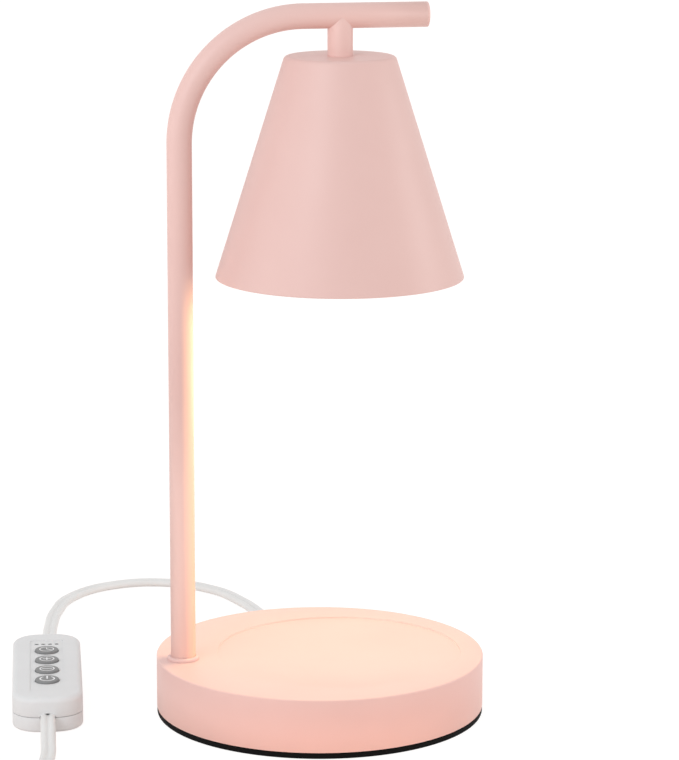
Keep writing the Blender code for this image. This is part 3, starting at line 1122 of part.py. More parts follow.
def make_plug(cord_end):
    """Moulded flat plug in line with the coil's last run, with two blades of unlike width."""
    x, y, _ = cord_end
    start = y + SEAT_GAP
    shoulder = start + PLUG_NECK_LENGTH
    stations = [
        (start, PLUG_NECK_WIDTH, PLUG_NECK_THICKNESS), (shoulder, PLUG_ROOT_WIDTH, PLUG_ROOT_THICKNESS),
        (shoulder + PLUG_CORNER / 2, PLUG_WIDTH - PLUG_CORNER, PLUG_THICKNESS - PLUG_EDGE),
        (shoulder + PLUG_CORNER * 2, PLUG_WIDTH, PLUG_THICKNESS),
        (shoulder + PLUG_LENGTH - PLUG_EDGE, PLUG_WIDTH, PLUG_THICKNESS),
        (shoulder + PLUG_LENGTH, PLUG_WIDTH - 2 * PLUG_EDGE, PLUG_THICKNESS - 2 * PLUG_EDGE),
    ]
    rings = []
    for place, width, height in stations:
        corner = min(PLUG_CORNER, height * PLUG_CORNER_SHARE)
        rings.append([(x + px, place, PLUG_AXIS + pz) for px, pz in rounded_rectangle(width, height, corner)])
    plug = skin("plug_body", rings, "white_vinyl")
    face = shoulder + PLUG_LENGTH
    for number, (side, width) in enumerate(zip((-1, 1), BLADE_WIDTHS), 1):
        tip = face + BLADE_LENGTH
        foot = face - BLADE_IN_PLUG
        outline = [(foot, -width / 2), (tip - BLADE_TIP, -width / 2), (tip, -width / 2 + BLADE_TIP),
                   (tip, width / 2 - BLADE_TIP), (tip - BLADE_TIP, width / 2), (foot, width / 2)]
        blade_x = x + side * BLADE_PITCH / 2
        rings = [[(blade_x + edge * BLADE_THICKNESS / 2, py, PLUG_AXIS + pz) for py, pz in outline]
                 for edge in (-1, 1)]
        skin(f"plug_blade_{number}", rings, "brass")
        room = [(blade_x + sx * (BLADE_THICKNESS / 2 + SEAT_GAP), PLUG_AXIS + sz * (width / 2 + SEAT_GAP))
                for sx, sz in ((-1, -1), (1, -1), (1, 1), (-1, 1))]
        slot = [[(px, py, pz) for px, pz in room] for py in (foot - SEAT_GAP, face + CUT_OVERRUN)]
        cut(plug, skin(f"blade_slot_{number}", slot, None))


def main():
    for old in list(bpy.data.objects):
        bpy.data.objects.remove(old)
    make_pan()
    make_weight()
    make_base_plate()
    make_post_and_arm()
    make_stem_and_shade()
    make_lampholder()
    make_bulb()
    make_wiring()
    make_strain_relief()
    make_control_box()
    make_cords()


main()
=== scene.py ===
# %% [markdown]
# # Candle warmer lamp
# The lamp has a heavy round base, and a bent tube that carries a conical shade. The heat of its reflector
# bulb melts a candle's wax. A flat cord leads to a small box with keys, and on to the plug. This lesson
# dresses the lamp's CAD model piece by piece. Lengths are in metres, so `MM` turns millimetres into them.

# %% Load the CAD model
import math

import bmesh
import bpy
from mathutils import Matrix, Vector


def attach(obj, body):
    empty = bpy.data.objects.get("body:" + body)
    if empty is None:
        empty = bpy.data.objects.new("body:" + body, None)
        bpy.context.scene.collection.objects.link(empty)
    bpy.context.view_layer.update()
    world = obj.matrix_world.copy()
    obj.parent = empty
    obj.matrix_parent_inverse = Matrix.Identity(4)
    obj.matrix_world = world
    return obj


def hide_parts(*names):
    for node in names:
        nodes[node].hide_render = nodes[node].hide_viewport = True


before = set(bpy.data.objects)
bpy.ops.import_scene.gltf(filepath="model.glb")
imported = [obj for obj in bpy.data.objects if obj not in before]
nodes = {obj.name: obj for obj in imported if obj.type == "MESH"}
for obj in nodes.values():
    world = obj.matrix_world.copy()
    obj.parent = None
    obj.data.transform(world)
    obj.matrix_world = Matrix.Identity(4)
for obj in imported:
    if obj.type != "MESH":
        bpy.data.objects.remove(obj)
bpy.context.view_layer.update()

MM = 0.001


def mm(*lengths):
    """Lengths in millimetres as metres."""
    return [length * MM for length in lengths]


# %% [markdown]
# ## Camera
# Its place, angles and lens were solved from the base, post, shade and arm in the photograph. It stands
# 1.4 m away and looks down a little through a long lens, so the post's lines stay nearly parallel.

# %% Camera
CAMERA_PLACE = mm(-266.27, -1408.56, 456.07)
CAMERA_ANGLES = (78.1225, -0.1152, -11.0334)
CAMERA_LENS = 153.4

bpy.ops.object.select_all(action="DESELECT")
bpy.ops.object.camera_add(location=CAMERA_PLACE, rotation=[math.radians(a) for a in CAMERA_ANGLES])
camera = bpy.context.object
camera.name = "photo_camera"
camera.data.lens = CAMERA_LENS
bpy.context.scene.camera = camera
print("camera:", camera.data.lens, "mm lens")

# %% [markdown]
# ## Colours and shader nodes
# Web colours are sRGB and a shader wants linear light, so one function turns them. Another adds a node,
# sets its properties and joins or sets its inputs. A third starts a finish with the piece's own
# coordinates, in metres, so that patterns can have real sizes.


# %% Colours and shader nodes
def linear(web_colour):
    """A web colour as the linear values that a shader takes."""
    shares = [int(web_colour[i:i + 2], 16) / 255 for i in (0, 2, 4)]
    return [c / 12.92 if c <= 0.04045 else ((c + 0.055) / 1.055) ** 2.4 for c in shares] + [1]


def add_node(tree, kind, inputs, **settings):
    """Adds a shader node. An input takes a value, or a link from another node's socket."""
    node = tree.nodes.new(kind)
    for name, value in settings.items():
        setattr(node, name, value)
    for name, value in inputs.items():
        if isinstance(value, bpy.types.NodeSocket):
            tree.links.new(value, node.inputs[name])
        else:
            node.inputs[name].default_value = value
    return node


def start_finish(name, roughness, **values):
    """A new material: its node tree, its shader with these values, and the piece's own coordinates."""
    material = bpy.data.materials.new(name)
    material.use_nodes = True
    tree = material.node_tree
    shader = tree.nodes["Principled BSDF"]
    for key, value in {"roughness": roughness, **values}.items():
        shader.inputs[key.replace("_", " ").title().replace("Ior", "IOR")].default_value = value
    place = tree.nodes.new("ShaderNodeTexCoord").outputs["Object"]
    return material, tree, shader, place


# %% [markdown]
# ## Patterns
# One function makes a cloudy pattern with grains of a real size. The others let a pattern from 0 to 1
# choose the colour, raise bumps of a real depth, or vary the gloss.


# %% Patterns
def noise(tree, place, grain, detail):
    """A cloudy pattern from 0 to 1, with grains of this size."""
    node = add_node(tree, "ShaderNodeTexNoise", {"Vector": place, "Scale": 1 / grain, "Detail": detail})
    return node.outputs["Fac"]


def mix_colours(tree, shader, share, dark, light):
    """Lets a pattern choose between two colours."""
    blend = add_node(tree, "ShaderNodeMix", {"Factor": share, 6: linear(dark), 7: linear(light)},
                     data_type="RGBA")
    tree.links.new(blend.outputs[2], shader.inputs["Base Color"])


def mottle(tree, shader, place, dark, light, grain):
    """Lets the colour drift softly between two close shades."""
    mix_colours(tree, shader, noise(tree, place, grain, 3.0), dark, light)


def relief(tree, shader, height, depth):
    """Turns a pattern into bumps of a real depth."""
    bump = add_node(tree, "ShaderNodeBump", {"Height": height, "Distance": depth})
    tree.links.new(bump.outputs["Normal"], shader.inputs["Normal"])


def vary_roughness(tree, shader, source, least, most):
    """Lets the roughness follow a pattern."""
    span = add_node(tree, "ShaderNodeMapRange", {"Value": source, "To Min": least, "To Max": most})
    tree.links.new(span.outputs["Result"], shader.inputs["Roughness"])


# %% [markdown]
# ## Powder coat
# Base, tube, stem and shade are sheet steel with a matt polyester powder coat, sprayed on dry and baked. It
# melts into a faint orange peel with waves of about a millimetre, and its fine grit keeps every highlight
# broad and soft. The peel is bump, and a slow drift of the colour stands for the uneven film.

# %% Powder coat
POWDER_DARK, POWDER_LIGHT, POWDER_DRIFT = "E6C0B9", "EAC6BF", 28 * MM
POWDER_PEEL, POWDER_GRIT, POWDER_DEPTH = mm(1.1, 0.45, 0.012)

powder_coat, tree, shader, place = start_finish("matt_powder_coat_pink", 0.5)
mottle(tree, shader, place, POWDER_DARK, POWDER_LIGHT, POWDER_DRIFT)
peel = noise(tree, place, POWDER_PEEL, 2.0)
grit = noise(tree, place, POWDER_GRIT, 1.0)
film = add_node(tree, "ShaderNodeMath", {0: peel, 1: grit}, operation="ADD")
relief(tree, shader, film.outputs["Value"], POWDER_DEPTH)
vary_roughness(tree, shader, grit, 0.4, 0.5)
print("made", powder_coat.name)

# %% [markdown]
# ## Moulded plastics
# Moulded plastic copies its mould. Where that is spark eroded, the skin has a fine even grit, which spreads
# the highlight. One recipe, with other colours, grits and gloss, serves white ABS for the box, grey ABS for
# the keys, satin PVC for cord and plug, nylon for parts inside the lamp and the box, the unlit lenses, and
# the ink of the symbols.

# %% Moulded plastics
PLASTIC_DRIFT = 14 * MM


def moulded_plastic(name, dark, light, grit, depth, smooth, rough):
    """Plastic with a grit of this size and depth in millimetres, and with a span of roughness."""
    material, tree, shader, place = start_finish(name, rough, ior=1.5)
    mottle(tree, shader, place, dark, light, PLASTIC_DRIFT)
    skin = noise(tree, place, grit * MM, 2.0)
    relief(tree, shader, skin, depth * MM)
    vary_roughness(tree, shader, skin, smooth, rough)
    return material


white_abs = moulded_plastic("spark_textured_abs_white", "E2E2E2", "E8E8E8", 0.5, 0.008, 0.42, 0.56)
grey_abs = moulded_plastic("spark_textured_abs_grey", "828282", "8A8A8A", 0.5, 0.008, 0.45, 0.6)
cord_vinyl = moulded_plastic("satin_pvc_white", "E6E5E3", "EFEEEC", 0.6, 0.01, 0.36, 0.5)
natural_nylon = moulded_plastic("natural_nylon", "E4E1D8", "ECEAE3", 0.7, 0.01, 0.4, 0.55)
black_plastic = moulded_plastic("glass_filled_nylon_black", "19191B", "212123", 0.6, 0.01, 0.45, 0.62)
dark_lens = moulded_plastic("unlit_acrylic_lens", "505052", "5E5E60", 1.2, 0.002, 0.12, 0.2)
white_ink = moulded_plastic("pad_print_ink_white", "F0F0F0", "F6F6F6", 0.5, 0.004, 0.45, 0.6)
print("made seven moulded plastics")

# %% [markdown]
# ## Foam and ceramic
# The foot pad is closed-cell EVA foam, whose cut skin shows tiny open cells, 0.7 mm apart. The lampholder
# and the bulb's base are steatite, a dense white ceramic, pressed and fired, with a thin glaze over a
# slightly grainy body.

# %% Foam and ceramic
FOAM_CELL, FOAM_DEPTH, FOAM_DRIFT = mm(0.7, 0.12, 6)
GLAZE_GRAIN, GLAZE_DEPTH, GLAZE_DRIFT = mm(0.8, 0.015, 5)

black_foam, tree, shader, place = start_finish("closed_cell_foam_black", 0.85, specular_ior_level=0.12)
mottle(tree, shader, place, "0B0A0A", "121110", FOAM_DRIFT)
cells = add_node(tree, "ShaderNodeTexVoronoi", {"Vector": place, "Scale": 1 / FOAM_CELL})
relief(tree, shader, cells.outputs["Distance"], FOAM_DEPTH)

glazed_steatite, tree, shader, place = start_finish("glazed_steatite_white", 0.25, ior=1.54)
mottle(tree, shader, place, "E8E4DA", "F1EEE7", GLAZE_DRIFT)
body = noise(tree, place, GLAZE_GRAIN, 3.0)
relief(tree, shader, body, GLAZE_DEPTH)
vary_roughness(tree, shader, body, 0.18, 0.34)
print("made", black_foam.name, "and", glazed_steatite.name)

# %% [markdown]
# ## Metals
# Plated steel is smooth with faint drawn lines and cloudy patches, cast iron keeps the sand mould's grain,
# and the plug's brass blades are brushed along their length. Each metal mixes two close colours, and its
# fine grain raises bumps and varies the gloss.

# %% Metals
METAL_DRIFT = 7 * MM


def worked_metal(name, dark, light, grain, stretch, depth, smooth, rough):
    """Metal with a grain of this size and depth in millimetres, drawn out along Y by the stretch."""
    material, tree, shader, place = start_finish(name, rough, metallic=1.0)
    mapped = add_node(tree, "ShaderNodeMapping", {"Vector": place, "Scale": (1, 1 / stretch, 1)})
    lines = noise(tree, mapped.outputs[0], grain * MM, 4.0)
    mottle(tree, shader, place, dark, light, METAL_DRIFT)
    relief(tree, shader, lines, depth * MM)
    vary_roughness(tree, shader, lines, smooth, rough)
    return material


zinc_plate = worked_metal("zinc_plated_steel", "AEB1B6", "C3C6CA", 0.5, 3, 0.006, 0.24, 0.42)
blanked_brass = worked_metal("blanked_brass", "C09A4A", "D0AB5E", 0.3, 12, 0.008, 0.2, 0.38)
cast_iron = worked_metal("sand_cast_iron", "3E3B38", "524E4A", 1.4, 1, 0.12, 0.55, 0.8)
black_steel = worked_metal("black_oxide_steel", "202024", "2E2E33", 0.8, 2, 0.01, 0.4, 0.58)
tungsten = worked_metal("tungsten_wire", "8A8784", "A09D99", 0.2, 4, 0.004, 0.3, 0.45)
coated_glass = worked_metal("aluminised_reflector_glass", "D2D5D9", "E0E3E6", 2.5, 1, 0.006, 0.06, 0.16)
print("made five metals and the reflector's coated glass")

# %% [markdown]
# ## Clear glass
# The front glass is pressed borosilicate and the capsule drawn quartz. Both are clear and nearly polished,
# with a very faint waviness.

# %% Clear glass
GLASS_DRIFT, GLASS_WAVE, GLASS_WAVE_DEPTH = mm(12, 6, 0.02)

clear_glass, tree, shader, place = start_finish("clear_lamp_glass", 0.03, ior=1.47, transmission_weight=1.0)
mottle(tree, shader, place, "F6FAFA", "FCFEFE", GLASS_DRIFT)
relief(tree, shader, noise(tree, place, GLASS_WAVE, 1.0), GLASS_WAVE_DEPTH)
print("made", clear_glass.name)

# %% [markdown]
# ## Woven sleeve and circuit board
# The two leads through the tube wear a braided glass-fibre sleeve against the heat, with threads 1.2 mm
# apart that cross in both directions. The board is glass laminate under green solder resist, through which
# the copper tracks show as slightly lighter lines.

# %% Woven sleeve and circuit board
# A wave texture repeats after 2 pi / 20 of its scaled length.
BRAID_LEAN, THREAD_SPACING, THREAD_DEPTH = math.radians(40), 1.1838 * MM, 0.12 * MM
TRACK_LENGTH, TRACK_SPACING, TRACK_WIDTH, TRACK_DEPTH = mm(3.2, 1.6, 0.14, 0.03)

woven_sleeve, tree, shader, place = start_finish("braided_glass_fibre_sleeve", 0.8)
threads = []
for lean in (BRAID_LEAN, -BRAID_LEAN):
    turned = add_node(tree, "ShaderNodeMapping", {"Vector": place, "Rotation": (lean, lean, 0)})
    scale = math.pi / 10 / THREAD_SPACING
    wave = add_node(tree, "ShaderNodeTexWave", {"Vector": turned.outputs[0], "Scale": scale},
                    bands_direction="Z")
    threads.append(wave.outputs["Fac"])
braid = add_node(tree, "ShaderNodeMath", {0: threads[0], 1: threads[1]}, operation="MAXIMUM")
mix_colours(tree, shader, braid.outputs[0], "BDB7A8", "EAE6DC")
relief(tree, shader, braid.outputs[0], THREAD_DEPTH)

board_resist, tree, shader, place = start_finish("green_solder_resist", 0.35)
tracks = add_node(tree, "ShaderNodeTexBrick", {
    "Vector": place, "Scale": 1.0, "Brick Width": TRACK_LENGTH, "Row Height": TRACK_SPACING,
    "Mortar Size": TRACK_WIDTH,
    "Color1": linear("1F5C38"), "Color2": linear("235F3B"), "Mortar": linear("3C8A57")})
tree.links.new(tracks.outputs["Color"], shader.inputs["Base Color"])
relief(tree, shader, tracks.outputs["Fac"], TRACK_DEPTH)
print("made", woven_sleeve.name, "and", board_resist.name)

# %% [markdown]
# ## Cord
# The lead is flat twin cord, 6.8 by 3.4 mm: two insulated wires side by side with a groove between, 1.8 m
# in all with the box. It leaves the strain relief at the base's back, lies in one loose curve on the table
# and enters the box. From the box's near end it runs to a neat round coil of spare length, and ends in the
# plug. A curve with its own cross-section is the natural way to make it. Both routes follow the CAD model's
# points.

# %% Cord: cross-section and routes
CORD_WIDTH, CORD_THICKNESS, CORD_WEB = mm(6.8, 3.4, 2.2)
BOX_X, BOX_Y, BOX_TURN = -122 * MM, 38 * MM, math.radians(-5.7)
BOX_LENGTH, BOX_WIDTH, BOX_HEIGHT, BOX_PARTING = mm(105, 32, 16, 7)
CORD_IN_BOX = 4 * MM
LAMP_ROUTE = [
    (0, 101.3, 10), (0, 108.1, 10), (0, 120, 8.3), (-0.5, 134, 5), (-2, 152, 2.1), (-7, 176, 1.8),
    (-19, 203, 1.8), (-42, 221, 1.8), (-70, 220, 1.8), (-92, 202, 1.8), (-103, 176, 1.8), (-108.5, 150, 1.8),
    (-112, 126, 2.8), (-114.2, 110, 5.2),
]
PLUG_ROUTE = [(-129.6, -38, 3.6), (-131.6, -54, 1.9), (-137, -71, 1.8), (-150, -85, 1.8), (-168, -92.5, 2)]


def box_point(along):
    """A place on the centre line of the box with the keys, at the height of its two cord openings."""
    return Vector((BOX_X - math.sin(BOX_TURN) * along, BOX_Y + math.cos(BOX_TURN) * along, BOX_PARTING))


lamp_route = [Vector(point) * MM for point in LAMP_ROUTE]
lamp_route += [box_point(BOX_LENGTH / 2 + CORD_WIDTH), box_point(BOX_LENGTH / 2 - CORD_IN_BOX)]

# %% Cord: the coil
COIL_CENTRE = Vector((-212 * MM, -46 * MM))
COIL_TURNS, COIL_POINTS_PER_TURN, CLIMB_TURNS = 5.25, 24, 0.5
COIL_LEAST_RADIUS, COIL_PITCH = mm(27.15, 7.35)
COIL_LOW, COIL_HIGH = mm(2.65, 6.6)
COIL_RUN_IN = 7 * MM
PLUG_AXIS, PLUG_RUN = mm(7.05, 28)


def coil_points():
    """In on the low layer, up where the spiral turns back, out on the upper layer, off to the plug."""
    half = COIL_TURNS / 2
    widest = COIL_LEAST_RADIUS + COIL_PITCH * half
    points = [Vector((COIL_CENTRE.x + COIL_RUN_IN, COIL_CENTRE.y - widest, COIL_LOW))]
    steps = round(COIL_TURNS * COIL_POINTS_PER_TURN)
    for step in range(steps + 1):
        turns = COIL_TURNS * step / steps
        radius = COIL_LEAST_RADIUS + COIL_PITCH * abs(turns - half)
        climb = min(1, max(0, (turns - half) / CLIMB_TURNS + 0.5))
        height = COIL_LOW + (COIL_HIGH - COIL_LOW) * climb * climb * (3 - 2 * climb)
        angle = -math.pi / 2 - 2 * math.pi * turns
        points.append(Vector((COIL_CENTRE.x + radius * math.cos(angle),
                              COIL_CENTRE.y + radius * math.sin(angle), height)))
    end = points[-1]
    rise = PLUG_AXIS - COIL_HIGH
    for run_share, rise_share in ((0.25, 0.1), (0.5, 0.6), (0.75, 1.0), (1.0, 1.0)):
        points.append(Vector((end.x, end.y + PLUG_RUN * run_share, end.z + rise * rise_share)))
    return points


coil = coil_points()
plug_route = [box_point(CORD_IN_BOX - BOX_LENGTH / 2), box_point(-BOX_LENGTH / 2 - CORD_WIDTH)]
plug_route += [Vector(point) * MM for point in PLUG_ROUTE] + [coil[0] + Vector((CORD_WIDTH, 0, 0))] + coil
print(len(lamp_route), "points to the box,", len(plug_route), "points to the plug")

# %% Cord: the twin section
CORE_STEPS = 12


def add_section():
    """The cord's cross-section: two round cores, which meet in a web with a groove on each side."""
    core = CORD_THICKNESS / 2
    reach = math.pi - math.asin(CORD_WEB / CORD_THICKNESS)
    steps = range(-CORE_STEPS, CORE_STEPS + 1)
    turns = [(side, reach * step / CORE_STEPS) for side in (1, -1) for step in steps]
    data = bpy.data.curves.new("twin_section", "CURVE")
    line = data.splines.new("POLY")
    line.points.add(len(turns) - 1)
    for point, (side, angle) in zip(line.points, turns):
        point.co = (side * core * (1 + math.cos(angle)), side * core * math.sin(angle), 0, 1)
    line.use_cyclic_u = True
    section = bpy.data.objects.new("twin_section", data)
    bpy.context.collection.objects.link(section)
    return section


# %% Cord: a tube along a route
def lay_cord(name, points):
    """A tube of the twin section along a smooth line, as a mesh, and the points of its centre line."""
    data = bpy.data.curves.new(name, "CURVE")
    data.dimensions = "3D"
    data.resolution_u = 8
    data.twist_mode = "Z_UP"
    line = data.splines.new("BEZIER")
    line.bezier_points.add(len(points) - 1)
    for point, place in zip(line.bezier_points, points):
        point.co = place
        point.handle_left_type = point.handle_right_type = "AUTO"
    cord = bpy.data.objects.new(name, data)
    bpy.context.collection.objects.link(cord)
    bpy.context.view_layer.update()
    centre_line = [vertex.co.copy() for vertex in cord.to_mesh().vertices]
    cord.to_mesh_clear()
    section = add_section()
    data.bevel_mode = "OBJECT"
    data.bevel_object = section
    data.use_fill_caps = True
    bpy.ops.object.select_all(action="DESELECT")
    cord.select_set(True)
    bpy.context.view_layer.objects.active = cord
    bpy.ops.object.convert(target="MESH")
    bpy.ops.object.shade_smooth_by_angle(angle=math.radians(50))
    bpy.data.objects.remove(section)
    return cord, centre_line


# %% Cord: both stretches
def length_of(points):
    return sum((b - a).length for a, b in zip(points, points[1:]))


cord_to_box, lamp_line = lay_cord("cord_lamp_to_box", lamp_route)
cord_to_plug, plug_line = lay_cord("cord_box_to_plug", plug_route)
for cord in (cord_to_box, cord_to_plug):
    cord.data.materials.append(cord_vinyl)
    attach(cord, "lamp")
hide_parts("cord_to_control")
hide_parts("cord_from_control", "cord_coil")
print(f"cord: {length_of(lamp_line):.3f} m to the box, {length_of(plug_line):.3f} m on to the plug")

# %% [markdown]
# ## Tools for modelling by hand
# Each new piece starts as a primitive at its real size and place. Its mesh is opened in edit mode, faces or
# edges are picked by where they lie and which way they point, and the usual operators shape them: inset,
# extrude, bevel, spin. These helpers do what the mouse does in a modelling session.


# %% Tools: adding and settling pieces
def begin():
    """Nothing stays selected, so that an operator acts only on what it adds."""
    bpy.ops.object.select_all(action="DESELECT")


def make_active(piece):
    begin()
    piece.select_set(True)
    bpy.context.view_layer.objects.active = piece


def apply_place(piece):
    """Puts place, turn and size into the mesh."""
    make_active(piece)
    bpy.ops.object.transform_apply(location=True, rotation=True, scale=True)


def settle(name):
    """Names the newest piece and applies its place."""
    piece = bpy.context.object
    piece.name = piece.data.name = name
    apply_place(piece)
    return piece


# %% Tools: bars and blocks
def add_post(name, radius, low, high, x=0, y=0, vertices=64, **settings):
    """An upright round bar from low to high, as a cutter or a start."""
    begin()
    bpy.ops.mesh.primitive_cylinder_add(vertices=vertices, radius=radius, depth=high - low,
                                        location=(x, y, (low + high) / 2), **settings)
    return settle(name)


def add_block(name, size, place, turn=0):
    """A block of this size, turned round its upright axis."""
    begin()
    bpy.ops.mesh.primitive_cube_add(size=1, location=place, rotation=(0, 0, turn))
    bpy.context.object.scale = size
    return settle(name)


# %% Tools: shading and joining
def smooth(piece, sharp=35):
    """Smooth shading, except over edges sharper than this many degrees."""
    make_active(piece)
    bpy.ops.object.shade_smooth_by_angle(angle=math.radians(sharp))


def join(pieces, name):
    """Joins pieces into the first of them."""
    make_active(pieces[0])
    for piece in pieces[1:]:
        piece.select_set(True)
    bpy.ops.object.join()
    pieces[0].name = pieces[0].data.name = name
    return pieces[0]


# %% Tools: picking faces and edges
def pick(kind, wanted):
    """Selects faces by middle and normal, or edges by middle and direction."""
    bpy.ops.mesh.select_mode(type=kind)
    bpy.ops.mesh.select_all(action="DESELECT")
    mesh = bpy.context.object.data
    bm = bmesh.from_edit_mesh(mesh)
    if kind == "FACE":
        for face in bm.faces:
            face.select_set(wanted(face.calc_center_median(), face.normal))
    else:
        for edge in bm.edges:
            start, end = (vertex.co for vertex in edge.verts)
            edge.select_set(wanted((start + end) / 2, (end - start).normalized()))
    bmesh.update_edit_mesh(mesh)


def pick_all():
    bpy.ops.mesh.select_mode(type="VERT")
    bpy.ops.mesh.select_all(action="SELECT")


# %% Tools: ways to choose
def near(value, target, within=0.02 * MM):
    return abs(value - target) < within


def facing_up(middle, normal):
    return normal.z > 0.9999


def facing_down(middle, normal):
    return normal.z < -0.9999


def upright(middle, way):
    return abs(way.z) > 0.9


def level(middle, way):
    return abs(way.z) < 0.1


def at_height(height):
    """Picks what has its middle at this height."""
    return lambda middle, way: near(middle.z, height)


def ring_at(height, radius, x=0):
    """Picks the edges of a level ring round an upright axis."""
    return lambda middle, way: (near(middle.z, height)
                                and near(math.hypot(middle.x - x, middle.y), radius, MM / 4))


# %% Tools: shaping a mesh
def open_mesh(piece):
    make_active(piece)
    bpy.ops.object.mode_set(mode="EDIT")


def close_mesh(sharp=35):
    """Back to object mode, with smooth shading."""
    bpy.ops.object.mode_set(mode="OBJECT")
    smooth(bpy.context.object, sharp)


def round_edges(wanted, radius, segments):
    pick("EDGE", wanted)
    bpy.ops.mesh.bevel(offset=radius, segments=segments)


def delete_faces(wanted):
    pick("FACE", wanted)
    bpy.ops.mesh.delete(type="FACE")


def extrude(x=0, y=0, z=0):
    """Extrudes what is picked, and moves its new end."""
    bpy.ops.mesh.extrude_region_move(TRANSFORM_OT_translate={"value": (x, y, z)})


def inset(thickness, depth=0.0, **settings):
    bpy.ops.mesh.inset(thickness=thickness, depth=depth, **settings)


def face_outwards():
    pick_all()
    bpy.ops.mesh.normals_make_consistent(inside=False)


# %% Tools: modifiers, and handing a piece over
def modify(piece, kind, **settings):
    """Adds a modifier and applies it."""
    modifier = piece.modifiers.new(kind.title(), kind)
    for name, value in settings.items():
        setattr(modifier, name, value)
    make_active(piece)
    bpy.ops.object.modifier_apply(modifier=modifier.name)


def make_sheet(piece, thickness, **settings):
    """Gives a skin its thickness, inwards."""
    modify(piece, "SOLIDIFY", thickness=thickness, offset=-1, **settings)


def soften(piece, width, segments, sharp):
    """Rounds all edges that are sharper than this many degrees."""
    modify(piece, "BEVEL", width=width, segments=segments, limit_method="ANGLE",
           angle_limit=math.radians(sharp))


def carve(piece, cutter):
    """Cuts one shape out of another, and throws the cutter away."""
    modify(piece, "BOOLEAN", operation="DIFFERENCE", object=cutter)
    bpy.data.objects.remove(cutter)


def hand_over(piece, finish, slot, body, *replaced):
    """Gives a piece its finish, and lets it ride on a CAD body in the place of CAD nodes. The slot is not
    used.
    """
    piece.data.materials.clear()
    piece.data.materials.append(finish)
    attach(piece, body)
    if replaced:
        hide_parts(*replaced)
    size = [round(v / MM, 1) for v in piece.dimensions]
    print(f"{piece.name}: {len(piece.data.polygons)} faces, {size} mm")


# %% [markdown]
# ## Base pan
# The base is a disc drawn from one sheet of steel, 150 mm across, with a crisp upper edge and a shallow
# round recess that centres a candle in the light. A spun profile can't make it, as the recess is off the
# disc's axis. So a cylinder's top is inset, the inset ring is moved over and set down, and the edges are
# bevelled. Solidify turns the skin into sheet.

# %% Base pan
BASE_RADIUS, BASE_TOP = mm(75, 26.9)
PAN_FOOT, PAN_CORNER, PAN_WALL = mm(2.8, 0.8, 1.2)
SHADE_X, POST_X = mm(9, -63.4)
RECESS_RADIUS, RECESS_SLOPE, RECESS_DEPTH = mm(56, 0.12, 0.8)
RECESS_RIM, RECESS_FOOT = mm(0.14, 0.08)
NIPPLE_HOLE, HOLE_DEPTH, CUT_SPARE = mm(4.3, 4, 1)

pan = add_post("base_pan", BASE_RADIUS, PAN_FOOT, BASE_TOP, vertices=192)
open_mesh(pan)
delete_faces(facing_down)
pick("FACE", facing_up)
inset(BASE_RADIUS - RECESS_RADIUS)
bpy.ops.transform.translate(value=(SHADE_X, 0, 0))
inset(RECESS_SLOPE, -RECESS_DEPTH)
round_edges(ring_at(BASE_TOP, BASE_RADIUS), PAN_CORNER, 8)
round_edges(ring_at(BASE_TOP, RECESS_RADIUS, SHADE_X), RECESS_RIM, 3)
round_edges(at_height(BASE_TOP - RECESS_DEPTH), RECESS_FOOT, 2)
close_mesh()
make_sheet(pan, PAN_WALL)
carve(pan, add_post("hole", NIPPLE_HOLE, BASE_TOP - HOLE_DEPTH, BASE_TOP + CUT_SPARE, POST_X))
hand_over(pan, powder_coat, "pink_coat", "lamp", "base_housing")

# %% [markdown]
# ## Foot pad
# A disc of dense black foam under the base keeps the lamp from sliding, and shows as a thin dark line. The
# die that cuts it presses its edge slightly round. Its underside is hollowed a little inside a rim.

# %% Foot pad
PAD_RADIUS, PAD_THICKNESS, PAD_EDGE = mm(74.9, 2.5, 0.35)
HOLLOW_RIM, HOLLOW_SLOPE, HOLLOW_DEPTH = mm(4, 0.5, 0.3)

pad = add_post("foam_foot_pad", PAD_RADIUS, 0, PAD_THICKNESS, vertices=192)
open_mesh(pad)
round_edges(level, PAD_EDGE, 3)
pick("FACE", facing_down)
inset(HOLLOW_RIM)
inset(HOLLOW_SLOPE, -HOLLOW_DEPTH)
close_mesh()
hand_over(pad, black_foam, "foam", "lamp", "foot_pad")

# %% [markdown]
# ## Post, bend and arm
# One steel tube, 11.3 mm across, rises from the base, takes a quarter turn on a bending former and runs out
# as the arm. A ring of points is extruded up, spun round the former's axis and extruded out, which is the
# path that the real tube takes. Solidify gives the tube its wall.

# %% Post, bend and arm
TUBE_RADIUS, TUBE_WALL, TUBE_FOOT = mm(5.65, 1.3, 27.2)
BEND_RADIUS = 55.6 * MM
ARM_HEIGHT, ARM_END = mm(319, 48.7)
CAP_THICKNESS, CAP_EDGE, CAP_PLUG, CAP_PLAY = mm(1, 0.5, 6, 0.3)
BEND_START, BEND_X = ARM_HEIGHT - BEND_RADIUS, POST_X + BEND_RADIUS

begin()
bpy.ops.mesh.primitive_circle_add(vertices=64, radius=TUBE_RADIUS, location=(POST_X, 0, TUBE_FOOT))
tube = settle("post_bend_and_arm")
open_mesh(tube)
pick_all()
extrude(z=BEND_START - TUBE_FOOT)
bpy.ops.mesh.spin(steps=40, angle=math.radians(-90), center=(BEND_X, 0, BEND_START), axis=(0, 1, 0))
extrude(x=ARM_END - CAP_THICKNESS - BEND_X)
pick_all()
bpy.ops.mesh.remove_doubles(threshold=0.001 * MM)
face_outwards()
close_mesh()
make_sheet(tube, TUBE_WALL)
hand_over(tube, powder_coat, "pink_coat", "lamp", "post_arm_tube")

# %% [markdown]
# ## End cap and collar
# A pressed-in cap closes the arm, and a low collar hides the hole at the post's foot. Both are short
# cylinders with one edge rounded over.


